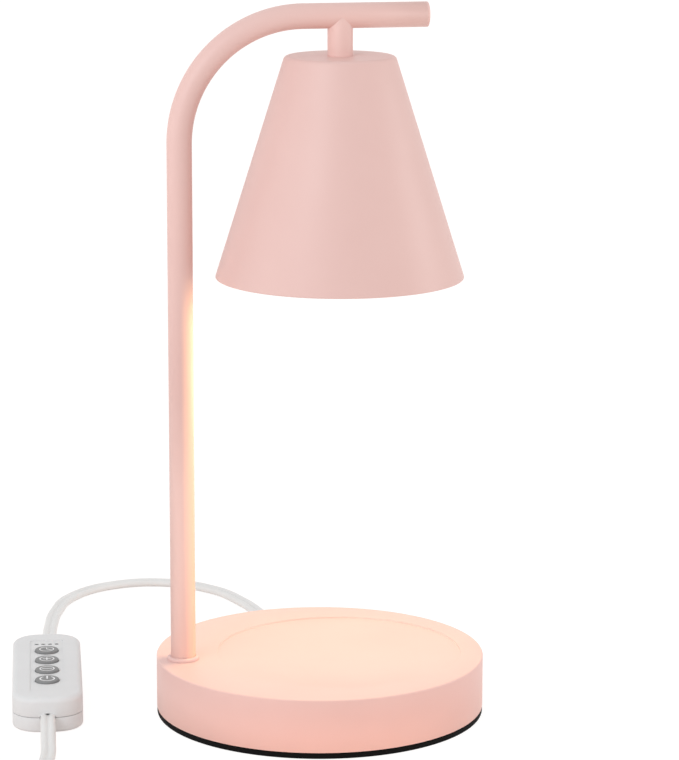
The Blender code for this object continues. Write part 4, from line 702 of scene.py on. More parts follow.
# %% End cap
def add_lying_bar(name, radius, length, x, vertices):
    """A round bar on the arm's axis, with its middle at x."""
    begin()
    bpy.ops.mesh.primitive_cylinder_add(vertices=vertices, radius=radius, depth=length,
                                        rotation=(0, math.radians(90), 0), location=(x, 0, ARM_HEIGHT))
    return settle(name)


cap = add_lying_bar("arm_cap", TUBE_RADIUS, CAP_THICKNESS, ARM_END - CAP_THICKNESS / 2, 64)
open_mesh(cap)
round_edges(lambda middle, way: near(middle.x, ARM_END), CAP_EDGE, 5)
pick("FACE", lambda middle, normal: normal.x < -0.9)
inset(TUBE_WALL + CAP_PLAY)
extrude(x=-CAP_PLUG)
close_mesh()
hand_over(cap, powder_coat, "pink_coat", "lamp", "arm_end_cap")

# %% Collar
COLLAR_RADIUS, COLLAR_EDGE, COLLAR_GAP = mm(7.15, 1.05, 0.05)
COLLAR_LOW, COLLAR_TOP = BASE_TOP + 0.1 * MM, BASE_TOP + 1.7 * MM

collar = add_post("post_foot_collar", COLLAR_RADIUS, COLLAR_LOW, COLLAR_TOP, POST_X, end_fill_type="NOTHING")
make_sheet(collar, COLLAR_RADIUS - TUBE_RADIUS - COLLAR_GAP)
open_mesh(collar)
round_edges(ring_at(COLLAR_TOP, COLLAR_RADIUS, POST_X), COLLAR_EDGE, 6)
close_mesh()
hand_over(collar, powder_coat, "pink_coat", "lamp", "post_collar")

# %% [markdown]
# ## Stem
# The stem is a piece of the same tube, standing on the shade and welded under the arm. Its upper end is
# coped, which means cut to the arm's curve, so its mouth climbs the arm in a point as seen from the front.
# A boolean with a bar of the arm's size makes the cut, and the piece above the arm is thrown away.

# %% Stem
SHADE_TOP = 301.2 * MM
COPE_GAP, COPE_LENGTH, STEM_SPARE = mm(0.02, 20, 2)

stem = add_post("stem_bar", TUBE_RADIUS, SHADE_TOP, ARM_HEIGHT + STEM_SPARE, SHADE_X, vertices=96)
carve(stem, add_lying_bar("cope", TUBE_RADIUS + COPE_GAP, COPE_LENGTH, SHADE_X, 192))
open_mesh(stem)
pick_all()
bpy.ops.mesh.separate(type="LOOSE")
bpy.ops.object.mode_set(mode="OBJECT")
parts = sorted(bpy.context.selected_objects, key=lambda piece: min(v.co.z for v in piece.data.vertices))
for spare in parts[1:]:
    bpy.data.objects.remove(spare)
stem = parts[0]
stem.name = stem.data.name = "coped_stem"
smooth(stem)
hand_over(stem, powder_coat, "pink_coat", "lamp", "stem")

# %% [markdown]
# ## Shade
# The shade is spun from 1 mm sheet steel, a plain cone 112 mm across at its mouth, with a small round
# corner at its flat top. A cone primitive has this shape already. Its bottom is opened, its top corner
# bevelled, and Solidify gives it the wall, whose edge is then softened.

# %% Shade
SHADE_MOUTH, SHADE_MOUTH_RADIUS, SHADE_TOP_RADIUS = mm(201.9, 56, 24.8)
SHADE_CORNER, SHADE_SHEET, SHADE_EDGE, SHADE_FLAT = mm(1.5, 1, 0.3, 19)

begin()
bpy.ops.mesh.primitive_cone_add(vertices=192, radius1=SHADE_MOUTH_RADIUS, radius2=SHADE_TOP_RADIUS,
                                depth=SHADE_TOP - SHADE_MOUTH,
                                location=(SHADE_X, 0, (SHADE_TOP + SHADE_MOUTH) / 2))
shade = settle("conical_shade")
open_mesh(shade)
delete_faces(facing_down)
round_edges(at_height(SHADE_TOP), SHADE_CORNER, 7)
pick("FACE", facing_up)
inset(SHADE_FLAT)
bpy.ops.mesh.delete(type="FACE")
close_mesh()
make_sheet(shade, SHADE_SHEET, use_even_offset=True)
soften(shade, SHADE_EDGE, 3, 50)
hand_over(shade, powder_coat, "pink_coat", "lamp", "shade")

# %% [markdown]
# ## Reflector
# The reflector is pressed glass with a metal coating. Rows of small facets in its bowl spread the light
# evenly over the candle. The rows are extruded from a ring, and each facet is then inset on its own and set
# in, which makes the little pillows of the real one.

# %% Reflector
BULB_NECK, BOWL_TOP, BOWL_BOTTOM, BULB_MOUTH = mm(246.3, 243.7, 221.8, 217.6)
BULB_HOLE, NECK_RADIUS, BOWL_RADIUS, BULB_RADIUS = mm(5.2, 9.5, 24.2, 25)
BOWL_ROWS, FACETS_ROUND, BOWL_ROUNDNESS = 8, 48, 0.62
BULB_WALL, FACET_EDGE, FACET_DEPTH, NECK_MARGIN = mm(1.5, 0.28, 0.22, 1)


def extrude_ring(rise, widen, centre):
    """Extrudes the picked ring along Z, and scales its new edge round the centre."""
    extrude(z=rise)
    bpy.ops.transform.resize(value=(widen, widen, 1), center_override=centre)


begin()
bpy.ops.mesh.primitive_circle_add(vertices=FACETS_ROUND, radius=BULB_HOLE, location=(SHADE_X, 0, BULB_NECK))
reflector = settle("faceted_reflector")
open_mesh(reflector)
pick_all()
extrude_ring(0, NECK_RADIUS / BULB_HOLE, (SHADE_X, 0, BULB_NECK))
extrude_ring(BOWL_TOP - BULB_NECK, 1, (SHADE_X, 0, BOWL_TOP))
radius, height = NECK_RADIUS, BOWL_TOP
for row in range(1, BOWL_ROWS + 1):
    share = row / BOWL_ROWS
    next_radius = NECK_RADIUS + (BOWL_RADIUS - NECK_RADIUS) * share ** BOWL_ROUNDNESS
    next_height = BOWL_TOP + (BOWL_BOTTOM - BOWL_TOP) * share
    extrude_ring(next_height - height, next_radius / radius, (SHADE_X, 0, next_height))
    radius, height = next_radius, next_height
extrude_ring(0, BULB_RADIUS / BOWL_RADIUS, (SHADE_X, 0, height))
extrude_ring(BULB_MOUTH - BOWL_BOTTOM, 1, (SHADE_X, 0, BULB_MOUTH))
face_outwards()
bpy.ops.object.mode_set(mode="OBJECT")
make_sheet(reflector, BULB_WALL)
open_mesh(reflector)
pick("FACE", lambda middle, normal: BOWL_BOTTOM < middle.z < BOWL_TOP - NECK_MARGIN
     and normal.x * (middle.x - SHADE_X) + normal.y * middle.y < 0)
inset(FACET_EDGE, FACET_DEPTH, use_individual=True)
close_mesh(14)
hand_over(reflector, coated_glass, "reflector", "bulb", "bulb_reflector")

# %% [markdown]
# ## Front glass, capsule and filament
# A flat glass keeps dust off the capsule, which is a quartz tube with a pinched neck and a drawn tip. The
# filament in it is a screw of tungsten wire on two molybdenum legs.

# %% Front glass
GLASS_RADIUS, GLASS_LOW, GLASS_TOP, GLASS_EDGE = mm(23.1, 218.4, 220.3, 0.4)

glass = add_post("front_glass", GLASS_RADIUS, GLASS_LOW, GLASS_TOP, SHADE_X, vertices=128)
open_mesh(glass)
round_edges(level, GLASS_EDGE, 3)
close_mesh()
hand_over(glass, clear_glass, "glass", "bulb", "bulb_front_glass")

# %% Capsule
CAPSULE_RADIUS, CAPSULE_TIP, CAPSULE_NECK = mm(4.2, 226.6, 240.3)
TIP_ROUNDING, TIP_RIM, TIP_DRAWN = mm(3, 0.35, 0.3)
NECK_ROUNDING, PINCH_SHARE, PINCH_LENGTH = 1.4 * MM, 0.62, 6 * MM

capsule = add_post("quartz_capsule", CAPSULE_RADIUS, CAPSULE_TIP, CAPSULE_NECK, SHADE_X, vertices=48)
open_mesh(capsule)
round_edges(at_height(CAPSULE_TIP), TIP_ROUNDING, 8)
pick("FACE", facing_down)
inset(TIP_RIM, TIP_DRAWN)
round_edges(at_height(CAPSULE_NECK), NECK_ROUNDING, 5)
pick("FACE", facing_up)
bpy.ops.transform.resize(value=(1, PINCH_SHARE, 1), center_override=(SHADE_X, 0, CAPSULE_NECK))
extrude(z=PINCH_LENGTH)
close_mesh()
hand_over(capsule, clear_glass, "glass", "bulb", "bulb_capsule")

# %% Filament
WIRE_RADIUS, WIRE_COIL_RADIUS, WIRE_PITCH, WIRE_TURNS = 0.12 * MM, 0.9 * MM, 0.55 * MM, 9
LEG_RADIUS, LEG_X, LEG_LENGTH, LEG_FOOT = mm(0.2, 1.6, 9, 231)

begin()
bpy.ops.mesh.primitive_circle_add(vertices=8, radius=WIRE_RADIUS, rotation=(math.radians(90), 0, 0),
                                  location=(WIRE_COIL_RADIUS, 0, 0))
filament = settle("filament")
modify(filament, "SCREW", axis="Z", angle=2 * math.pi, screw_offset=WIRE_PITCH, iterations=WIRE_TURNS,
       steps=20, render_steps=20, use_merge_vertices=False)
legs = [add_post("leg", LEG_RADIUS, 0, LEG_LENGTH, -LEG_X, vertices=12),
        add_post("leg", LEG_RADIUS, 0, LEG_LENGTH + WIRE_TURNS * WIRE_PITCH, LEG_X, vertices=12)]
filament = join([filament, *legs], "filament")
filament.location = (SHADE_X, 0, LEG_FOOT)
apply_place(filament)
smooth(filament, 40)
hand_over(filament, tungsten, "zinc", "bulb")

# %% [markdown]
# ## Box with the keys
# The box is two shells of white ABS, which meet in a fine dark line 7 mm above the table. Each half starts
# as a block with round upright edges. The rim of its outer face is rounded over, the face at the joint is
# deleted, and Solidify makes the wall.

# %% Box with the keys: two shells
BOX_CORNER, BOX_WALL, BOX_EDGE, JOINT_GAP = mm(12.3, 1.8, 0.2, 0.12)
TOP_ROUNDING, BOTTOM_ROUNDING = mm(2.6, 1.4)


def add_rounded_block(name, size, place, corner, segments, turn=0):
    """A block with round upright edges, whose mesh stays open."""
    block = add_block(name, size, place, turn)
    open_mesh(block)
    round_edges(upright, corner, segments)
    return block


def shell(name, joint, outer, rounding):
    """One half of the box, hollow and open at the joint."""
    size = (BOX_WIDTH, BOX_LENGTH, abs(outer - joint))
    half = add_rounded_block(name, size, (0, 0, (joint + outer) / 2), BOX_CORNER, 14)
    round_edges(at_height(outer), rounding, 7)
    delete_faces(at_height(joint))
    close_mesh()
    make_sheet(half, BOX_WALL)
    soften(half, BOX_EDGE, 2, 60)
    return half

# %% Box with the keys: cord openings, and its place
TUNNEL_SPARE, TUNNEL_REACH, TUNNEL_FLATNESS = 0.3 * MM, 4 * MM, 0.54


def flat_tunnel():
    """A cutter for the two cord openings, one at each end of the box."""
    begin()
    bpy.ops.mesh.primitive_cylinder_add(
        vertices=48, radius=CORD_WIDTH / 2 + TUNNEL_SPARE, depth=BOX_LENGTH + TUNNEL_REACH,
        rotation=(math.radians(90), 0, 0), location=(0, 0, BOX_PARTING))
    bpy.context.object.scale.y = TUNNEL_FLATNESS
    return settle("tunnel")


def lay(piece, x, y, turn):
    """Turns a piece round the Z axis and moves it to a place on the table."""
    piece.rotation_euler = (0, 0, turn)
    piece.location = (x, y, 0)
    apply_place(piece)


def lay_in_box(piece):
    lay(piece, BOX_X, BOX_Y, BOX_TURN)


# %% Box with the keys: top
PANEL_WIDTH, PANEL_LENGTH, PANEL_CORNER = mm(15.9, 80.8, 1.6)
PANEL_FLOOR, PANEL_MIDDLE = mm(15.6, -0.2)
KEY_RADIUS, KEY_GAP, KEY_TOP = mm(5.5, 0.25, 16.6)
KEY_PLACES = {"timer": 23.425 * MM, "plus": 7.675 * MM, "minus": -8.075 * MM, "power": -23.825 * MM}
DOT_RADIUS, DOT_GAP, DOT_Y = mm(0.95, 0.1, 34.85)
DOT_PLACES = [side * 3.17 * MM for side in (-1.5, -0.5, 0.5, 1.5)]
HOLE_LOW, HOLE_HIGH = mm(12, 18)

top = shell("key_box_top", BOX_PARTING + JOINT_GAP, BOX_HEIGHT, TOP_ROUNDING)
sunk = BOX_HEIGHT + CUT_SPARE - PANEL_FLOOR
panel = add_rounded_block("panel", (PANEL_WIDTH, PANEL_LENGTH, sunk),
                          (0, PANEL_MIDDLE, PANEL_FLOOR + sunk / 2), PANEL_CORNER, 14)
close_mesh()
carve(top, panel)
for y in KEY_PLACES.values():
    carve(top, add_post("hole", KEY_RADIUS + KEY_GAP, HOLE_LOW, HOLE_HIGH, 0, y))
for x in DOT_PLACES:
    carve(top, add_post("hole", DOT_RADIUS + DOT_GAP, HOLE_LOW, HOLE_HIGH, x, DOT_Y, vertices=24))
carve(top, flat_tunnel())
smooth(top, 30)
lay_in_box(top)
hand_over(top, white_abs, "white_case", "lamp", "control_top")

# %% Box with the keys: bottom
SCREW_PLACES = ((9.5 * MM, 42 * MM), (-9.5 * MM, -42 * MM))
SCREW_WELL, WELL_TOP = mm(2.8, 3)

bottom = shell("key_box_bottom", BOX_PARTING - JOINT_GAP, 0, BOTTOM_ROUNDING)
for x, y in SCREW_PLACES:
    carve(bottom, add_post("well", SCREW_WELL, -CUT_SPARE, WELL_TOP, x, y, vertices=40))
carve(bottom, flat_tunnel())
smooth(bottom, 30)
lay_in_box(bottom)
hand_over(bottom, white_abs, "white_case", "lamp", "control_bottom")

# %% [markdown]
# ## Case screws
# Two self-tapping screws hold the box together. Each has a low pan head with a cross recess, sunk in a
# round well in the underside. The head is a bevelled cylinder, two crossed blocks cut its recess, and a
# thinner cylinder is the shank. Both screws are copies of one.

# %% Case screws
SCREW_SUNK, SCREW_NECK, SCREW_TOP = mm(0.9, 2.6, 11.4)
SCREW_HEAD_RADIUS, SCREW_HEAD_EDGE, SCREW_SHANK_RADIUS = mm(2.5, 0.7, 1.3)
CROSS_SHORT, CROSS_LONG, CROSS_HEIGHT = mm(0.62, 2.9, 2)
SHANK_IN_HEAD, SHANK_TIP_INSET, SHANK_TIP_RISE = mm(0.2, 0.9, 0.01)


def copy_at(piece, name, x, y):
    """A copy with its own mesh, at a place on the box."""
    twin = piece.copy()
    twin.data = piece.data.copy()
    bpy.context.collection.objects.link(twin)
    twin.name = twin.data.name = name
    twin.data.transform(Matrix.Translation((x, y, 0)))
    lay_in_box(twin)
    return twin


head = add_post("head", SCREW_HEAD_RADIUS, SCREW_SUNK, SCREW_NECK, vertices=48)
open_mesh(head)
round_edges(at_height(SCREW_SUNK), SCREW_HEAD_EDGE, 5)
close_mesh()
for width, length in ((CROSS_SHORT, CROSS_LONG), (CROSS_LONG, CROSS_SHORT)):
    carve(head, add_block("recess", (width, length, CROSS_HEIGHT), (0, 0, SCREW_SUNK)))
shank = add_post("shank", SCREW_SHANK_RADIUS, SCREW_NECK - SHANK_IN_HEAD, SCREW_TOP, vertices=32)
open_mesh(shank)
pick("FACE", facing_up)
inset(SHANK_TIP_INSET, SHANK_TIP_RISE)
close_mesh()
first_screw = join([head, shank], "case_screw")
for number, (x, y) in enumerate(SCREW_PLACES, 1):
    screw = copy_at(first_screw, f"cross_recess_screw_{number}", x, y)
    smooth(screw)
    hand_over(screw, zinc_plate, "zinc", "lamp", f"case_screw_{number}")
bpy.data.objects.remove(first_screw)

# %% [markdown]
# ## Keys
# The four keys are round caps of grey ABS, which stand 1 mm proud of the panel. A flange under the panel
# keeps them in, and a foot presses the plunger below. One cap is modelled and copied to all four places.
# Each copy rides on its own body, because each key moves alone.

# %% Keys
KEY_FLANGE_TOP, KEY_FLANGE_LOW, KEY_FOOT = mm(13.9, 13.1, 11.7)
KEY_FLANGE_RADIUS, KEY_FOOT_RADIUS, KEY_STEP, KEY_EDGE = mm(6.6, 2.3, 0.01, 0.5)

first_key = add_post("key", KEY_RADIUS, KEY_FLANGE_TOP, KEY_TOP, vertices=72)
open_mesh(first_key)
round_edges(at_height(KEY_TOP), KEY_EDGE, 5)
pick("FACE", facing_down)
inset(KEY_STEP)
for rise, widen in ((0, KEY_FLANGE_RADIUS / (KEY_RADIUS - KEY_STEP)), (KEY_FLANGE_LOW - KEY_FLANGE_TOP, 1),
                    (0, KEY_FOOT_RADIUS / KEY_FLANGE_RADIUS), (KEY_FOOT - KEY_FLANGE_LOW, 1)):
    extrude_ring(rise, widen, (0, 0, 0))
close_mesh()
for name, y in KEY_PLACES.items():
    key = copy_at(first_key, f"{name}_key_cap", 0, y)
    hand_over(key, grey_abs, "grey_keys", f"{name}_key", f"key_{name}")
bpy.data.objects.remove(first_key)

# %% [markdown]
# ## Key symbols
# A clock, a plus, a minus and the usual power sign are pad printed in white ink. They are generic signs,
# drawn as rings and bars a few hundredths of a millimetre high, so they show from geometry. Where two bars
# cross, the second is a little higher, because two faces in one plane would flicker.

# %% Key symbols: rings and bars of ink
SIGN_RADIUS, INK_HEIGHT = mm(3.25, 0.05)
BAR_CORNER_SHARE, NEXT_BAR_RISE = 0.49, 0.3


def ring_sign(width, gap):
    """A ring of ink, open at its top by the gap."""
    begin()
    bpy.ops.mesh.primitive_circle_add(vertices=96, radius=SIGN_RADIUS)
    line = settle("ring")
    if gap:
        open_mesh(line)
        pick("EDGE", lambda middle, way: abs(math.atan2(middle.x, middle.y)) < math.radians(gap / 2))
        bpy.ops.mesh.delete(type="EDGE")
        bpy.ops.object.mode_set(mode="OBJECT")
    make_active(line)
    bpy.ops.object.convert(target="CURVE")
    line = bpy.context.object
    line.data.bevel_depth = width * MM / 2
    line.data.bevel_resolution = 3
    line.data.use_fill_caps = True
    bpy.ops.object.convert(target="MESH")
    bpy.context.object.scale.z = INK_HEIGHT / (width * MM)
    return settle("ring")


def bar_sign(start, end, width, height):
    """A bar of ink with round ends."""
    size = ((math.dist(start, end) + width) * MM, width * MM, height)
    middle = [(a + b) / 2 * MM for a, b in zip(start, end)]
    turn = math.atan2(end[1] - start[1], end[0] - start[0])
    bar = add_rounded_block("bar", size, (*middle, 0), width * MM * BAR_CORNER_SHARE, 6, turn)
    bpy.ops.object.mode_set(mode="OBJECT")
    return bar


# %% Key symbols: the four signs
# Each sign in millimetres: the ring's line and the degrees of its gap, then each bar's ends and width.
SIGNS = {
    "timer": ((0.55, 0), ((0, 2), (0, 0), 0.5), ((0, 0), (2.1, -1.05), 0.5)),
    "plus": ((0.55, 0), ((-1.6, 0), (1.6, 0), 0.6), ((0, -1.6), (0, 1.6), 0.6)),
    "minus": ((0.55, 0), ((-2.1, 0), (2.1, 0), 0.6)),
    "power": ((0.7, 64), ((0, 0), (0, 3.8), 0.7)),
}

for name, (ring, *bars) in SIGNS.items():
    strokes = [ring_sign(*ring)]
    strokes += [bar_sign(*bar, INK_HEIGHT * (1 + NEXT_BAR_RISE * number)) for number, bar in enumerate(bars)]
    sign = join(strokes, f"{name}_sign")
    sign.data.transform(Matrix.Translation((0, KEY_PLACES[name], KEY_TOP + INK_HEIGHT / 4)))
    lay_in_box(sign)
    smooth(sign)
    hand_over(sign, white_ink, "white_case", f"{name}_key")

# %% [markdown]
# ## Indicator lenses
# Four small lenses above the timer key show the chosen time. Unlit acrylic over the dark inside looks dark
# grey. Each is a peg with a slightly domed end, on one bar that hides under the panel.

# %% Indicator lenses
LENS_LOW, LENS_TOP, LENS_EDGE = 13.5 * MM, PANEL_FLOOR + 0.02 * MM, 0.3 * MM
LENS_BAR_SIZE, LENS_BAR_Z, LENS_BAR_EDGE = mm(13, 3.2, 1.6), 13 * MM, 0.2 * MM

lenses = []
for x in DOT_PLACES:
    lens = add_post("lens", DOT_RADIUS, LENS_LOW, LENS_TOP, x, DOT_Y, vertices=32)
    open_mesh(lens)
    round_edges(at_height(LENS_TOP), LENS_EDGE, 4)
    close_mesh()
    lenses.append(lens)
bar = add_block("bar", LENS_BAR_SIZE, (0, DOT_Y, LENS_BAR_Z))
open_mesh(bar)
pick_all()
bpy.ops.mesh.bevel(offset=LENS_BAR_EDGE, segments=2)
close_mesh()
lens_bar = join([bar, *lenses], "indicator_lenses")
lay_in_box(lens_bar)
hand_over(lens_bar, dark_lens, "clear_plastic", "lamp", "indicator_guide")

# %% [markdown]
# ## Strain relief and plug
# Both are moulded on the cord in soft vinyl. An upright plane with bevelled corners is extruded and scaled
# from section to section. Sections that step in and out make the ribs of the strain relief and the grips of
# the plug.


# %% Moulding along the cord
def add_rounded_plane(name, place, width, height, corner, segments):
    """An upright plane that faces along Y, with round corners, whose mesh stays open and picked."""
    begin()
    bpy.ops.mesh.primitive_plane_add(size=1, rotation=(math.radians(90), 0, 0), location=place)
    bpy.context.object.scale = (width, height, 1)
    plane = settle(name)
    open_mesh(plane)
    pick_all()
    bpy.ops.mesh.bevel(offset=corner, segments=segments, affect="VERTICES")
    pick_all()
    return plane


def mould_along_cord(name, origin, sections, corner_share):
    """A rounded bar along +Y through sections of (distance, width, height), in millimetres from an origin."""
    x, y, z = origin
    sections = [(y + along * MM, width * MM, height * MM) for along, width, height in sections]
    place, width, height = sections[0]
    bar = add_rounded_plane(name, (x, place, z), width, height, min(width, height) * corner_share, 8)
    for next_place, next_width, next_height in sections[1:]:
        extrude(y=next_place - place)
        bpy.ops.transform.resize(value=(next_width / width, 1, next_height / height),
                                 center_override=(x, next_place, z))
        place, width, height = next_place, next_width, next_height
    face_outwards()
    close_mesh()
    return bar

# %% Strain relief
RELIEF_START, RELIEF_SHOULDER, RELIEF_NECK, RELIEF_END = 71.5, 75.1, 77.6, 101
RELIEF_WIDTH, RELIEF_HEIGHT, WIDTH_TAPER, HEIGHT_TAPER = 12.6, 9, 4.4, 4.1
RELIEF_RIBS, RIB_SPACING, RIB_DEPTH = 6, 3.5, 1.3
RELIEF_Z = 10 * MM
sections = [(RELIEF_START, 10.4, 6.8), (73.4, 10.4, 6.8), (RELIEF_SHOULDER, 10.4, 6.8),
            (RELIEF_SHOULDER, 13, 9.4), (RELIEF_NECK, RELIEF_WIDTH, RELIEF_HEIGHT)]
for rib in range(RELIEF_RIBS):
    for step, waist in ((0.3, RIB_DEPTH), (1.2, RIB_DEPTH), (1.5, 0), (RIB_SPACING, 0)):
        along = RELIEF_NECK + rib * RIB_SPACING + step
        share = (along - RELIEF_SHOULDER) / (RELIEF_END - RELIEF_SHOULDER)
        sections.append((along, RELIEF_WIDTH - WIDTH_TAPER * share - waist,
                         RELIEF_HEIGHT - HEIGHT_TAPER * share - waist))
sections.append((RELIEF_END, 8, 4.7))
relief_boot = mould_along_cord("ribbed_strain_relief", (0, 0, RELIEF_Z), sections, 0.47)
hand_over(relief_boot, cord_vinyl, "vinyl", "lamp", "strain_relief")

# %% Plug
PLUG_GAP = 0.3 * MM
PLUG_PLACE = (plug_line[-1].x, plug_line[-1].y + PLUG_GAP, PLUG_AXIS)
NECK_RIBS, NECK_RIB_SPACING, PLUG_NECK_WIDTH, PLUG_NECK_HEIGHT = 3, 3.6, 8.8, 5.2
PLUG_SHOULDER, GRIPS, GRIP_START, GRIP_SPACING = 14, 3, 22, 2.6
sections = [(0, 8.4, 5)]
for rib in range(1, NECK_RIBS + 1):
    for step, waist in ((0, 0.2), (0.4, 1), (1.4, 1), (1.8, 0)):
        sections.append((rib * NECK_RIB_SPACING - 1 + step, PLUG_NECK_WIDTH + rib - waist,
                         PLUG_NECK_HEIGHT + rib * 0.8 - waist))
sections += [(PLUG_SHOULDER, 14, 9), (15.2, 19.4, 11.6), (17.2, 22.8, 13.2), (20, 24.4, 13.8)]
for grip in range(GRIPS):
    for step, width, height in ((0, 24.6, 13.9), (0.4, 23.6, 12.9), (1.2, 23.6, 12.9), (1.6, 24.7, 13.9)):
        sections.append((GRIP_START + grip * GRIP_SPACING + step, width, height))
sections += [(36.6, 25, 14), (37.6, 24.4, 13.4), (38, 23, 12)]
plug = mould_along_cord("moulded_plug", PLUG_PLACE, sections, 0.42)
hand_over(plug, cord_vinyl, "vinyl", "lamp", "plug_body")

# %% [markdown]
# ## Coil tie
# A soft vinyl strap holds the coil's turns. Its own button closes it, whose low round head stands on top. A
# plane with round corners is extruded to a short tube, its ends are opened, and Solidify gives the strap
# its thickness.

# %% Coil tie: its size round the coil
TIE_ANGLE = math.radians(35)
TIE_WIDTH, TIE_THICKNESS, TIE_GAP = mm(5, 0.5, 0.4)
near_tie = []
for point in coil:
    turn = math.atan2(point.y - COIL_CENTRE.y, point.x - COIL_CENTRE.x) - TIE_ANGLE
    if abs(math.remainder(turn, 2 * math.pi)) < 2 * math.pi / COIL_POINTS_PER_TURN:
        near_tie.append((point.xy - COIL_CENTRE).length)
spare = TIE_GAP + TIE_THICKNESS
tie_inner = min(near_tie) - CORD_WIDTH / 2 - spare
tie_outer = max(near_tie) + CORD_WIDTH / 2 + spare
tie_low = COIL_LOW - CORD_THICKNESS / 2 - spare
tie_high = COIL_HIGH + CORD_THICKNESS / 2 + spare
tie_middle = (tie_inner + tie_outer) / 2
print(f"tie: {(tie_outer - tie_inner) / MM:.1f} x {(tie_high - tie_low) / MM:.1f} mm round the turns")

# %% Coil tie: strap, tab and button
TIE_CORNER, TIE_EDGE = mm(1.9, 0.14)
TAB_LENGTH, TAB_CORNER, TAB_SHIFT, TAB_MARGIN, TAB_SUNK = mm(11, 1.7, 2, 0.4, 0.02)
BUTTON_RADIUS, BUTTON_HEIGHT, BUTTON_EDGE, BUTTON_SHIFT = mm(1.25, 1.3, 0.45, 3.4)

strap = add_rounded_plane("strap", (tie_middle, -TIE_WIDTH / 2, (tie_low + tie_high) / 2),
                          tie_outer - tie_inner, tie_high - tie_low, TIE_CORNER, 6)
extrude(y=TIE_WIDTH)
delete_faces(lambda middle, normal: abs(normal.y) > 0.9)
face_outwards()
close_mesh()
make_sheet(strap, TIE_THICKNESS)
soften(strap, TIE_EDGE, 3, 50)
tab = add_rounded_block("tab", (TAB_LENGTH, TIE_WIDTH - TAB_MARGIN, TIE_THICKNESS),
                        (tie_middle + TAB_SHIFT, 0, tie_high + TIE_THICKNESS / 2 - TAB_SUNK), TAB_CORNER, 6)
pick("FACE", facing_up)
bpy.ops.mesh.bevel(offset=TIE_EDGE, segments=3)
close_mesh()
button = add_post("button", BUTTON_RADIUS, tie_high, tie_high + BUTTON_HEIGHT, tie_middle + BUTTON_SHIFT,
                  vertices=32)
open_mesh(button)
round_edges(at_height(tie_high + BUTTON_HEIGHT), BUTTON_EDGE, 5)
close_mesh()
coil_strap = join([strap, tab, button], "button_strap")
lay(coil_strap, COIL_CENTRE.x, COIL_CENTRE.y, TIE_ANGLE)
smooth(coil_strap)
hand_over(coil_strap, cord_vinyl, "vinyl", "lamp", "coil_tie")

# %% [markdown]
# ## CAD pieces that stay
# The pieces inside base, tube, shade and box have the right shape already. Each keeps its mesh and gets the
# finish of the real one in its material slot.

# %% CAD pieces that stay
KEPT = {
    zinc_plate: ["plate_screw_1", "plate_screw_2", "plate_screw_3", "post_nipple", "post_washer", "post_nut",
                 "shade_nipple", "shade_washer", "shade_nut", "holder_strap", "holder_screw_1",
                 "holder_screw_2", "bulb_pin_1", "bulb_pin_2"],
    cast_iron: ["counterweight"],
    black_steel: ["base_plate"],
    glazed_steatite: ["lampholder", "bulb_base"],
    blanked_brass: ["holder_contact_1", "holder_contact_2", "plug_blade_1", "plug_blade_2"],
    woven_sleeve: ["lead_wire_1", "lead_wire_2"],
    natural_nylon: ["terminal_block"],
    cord_vinyl: ["cord_core_1", "cord_core_2"],
    board_resist: ["circuit_board"],
    black_plastic: ["capacitor", "dimmer_switch", "plunger_timer", "plunger_plus", "plunger_minus",
                    "plunger_power"],
}
for finish, names in KEPT.items():
    for name in names:
        for material_slot in nodes[name].material_slots:
            material_slot.material = finish
print(sum(len(names) for names in KEPT.values()), "CAD pieces stay, each with its own finish")

# %% [markdown]
# ## What the cord is
# A list names the pieces that lie on the cord: the strain relief, and the box with its keys, signs, screws
# and the parts inside.

# %% What the cord is
on_the_cord = ["ribbed_strain_relief", "key_box_top", "key_box_bottom", "indicator_lenses", "circuit_board",
               "capacitor", "dimmer_switch", "cross_recess_screw_1", "cross_recess_screw_2"]
for name in KEY_PLACES:
    on_the_cord += [f"{name}_key_cap", f"{name}_sign", f"plunger_{name}"]

# %% [markdown]
# ## Floor, light and background
# The floor and the world show white to the camera and to reflections, and light the lamp at a plain level.
# The floor's own shading is mixed in, so that the lamp's soft shadow stays. Three large soft lamps give
# form: the key from the front left, a fill from the right, and a weak one from the left.


# %% Floor
def seen_share(tree):
    """1 for rays from the camera, off a glossy surface or through glass, and 0 for all others."""
    rays = add_node(tree, "ShaderNodeLightPath", {})
    seen = rays.outputs["Is Camera Ray"]
    for kind in ("Is Glossy Ray", "Is Transmission Ray"):
        either = add_node(tree, "ShaderNodeMath", {0: seen, 1: rays.outputs[kind]}, operation="MAXIMUM")
        seen = either.outputs[0]
    return seen


FLOOR_Z, FLOOR_SIZE = -0.1 * MM, 12
FLOOR_WHITE, FLOOR_WHITE_SHARE = 1.22, 0.72

begin()
bpy.ops.mesh.primitive_plane_add(size=FLOOR_SIZE, location=(0, 0, FLOOR_Z))
floor = bpy.context.object
floor.name = "floor"
floor_white, tree, shader, place = start_finish("matt_white_floor", 0.9, base_color=linear("F4E8E2"),
                                                specular_ior_level=0.0)
share = add_node(tree, "ShaderNodeMath", {0: seen_share(tree), 1: FLOOR_WHITE_SHARE}, operation="MULTIPLY")
white = add_node(tree, "ShaderNodeEmission", {"Color": (1, 1, 1, 1), "Strength": FLOOR_WHITE})
mixed = add_node(tree, "ShaderNodeMixShader",
                 {0: share.outputs[0], 1: shader.outputs[0], 2: white.outputs[0]})
tree.links.new(mixed.outputs[0], tree.nodes["Material Output"].inputs["Surface"])
floor.data.materials.append(floor_white)
print("made", floor_white.name)

# %% World and soft lamps
WORLD_LIGHT = 0.75
SOFTBOX_AIM = (0, 0, 0.16)


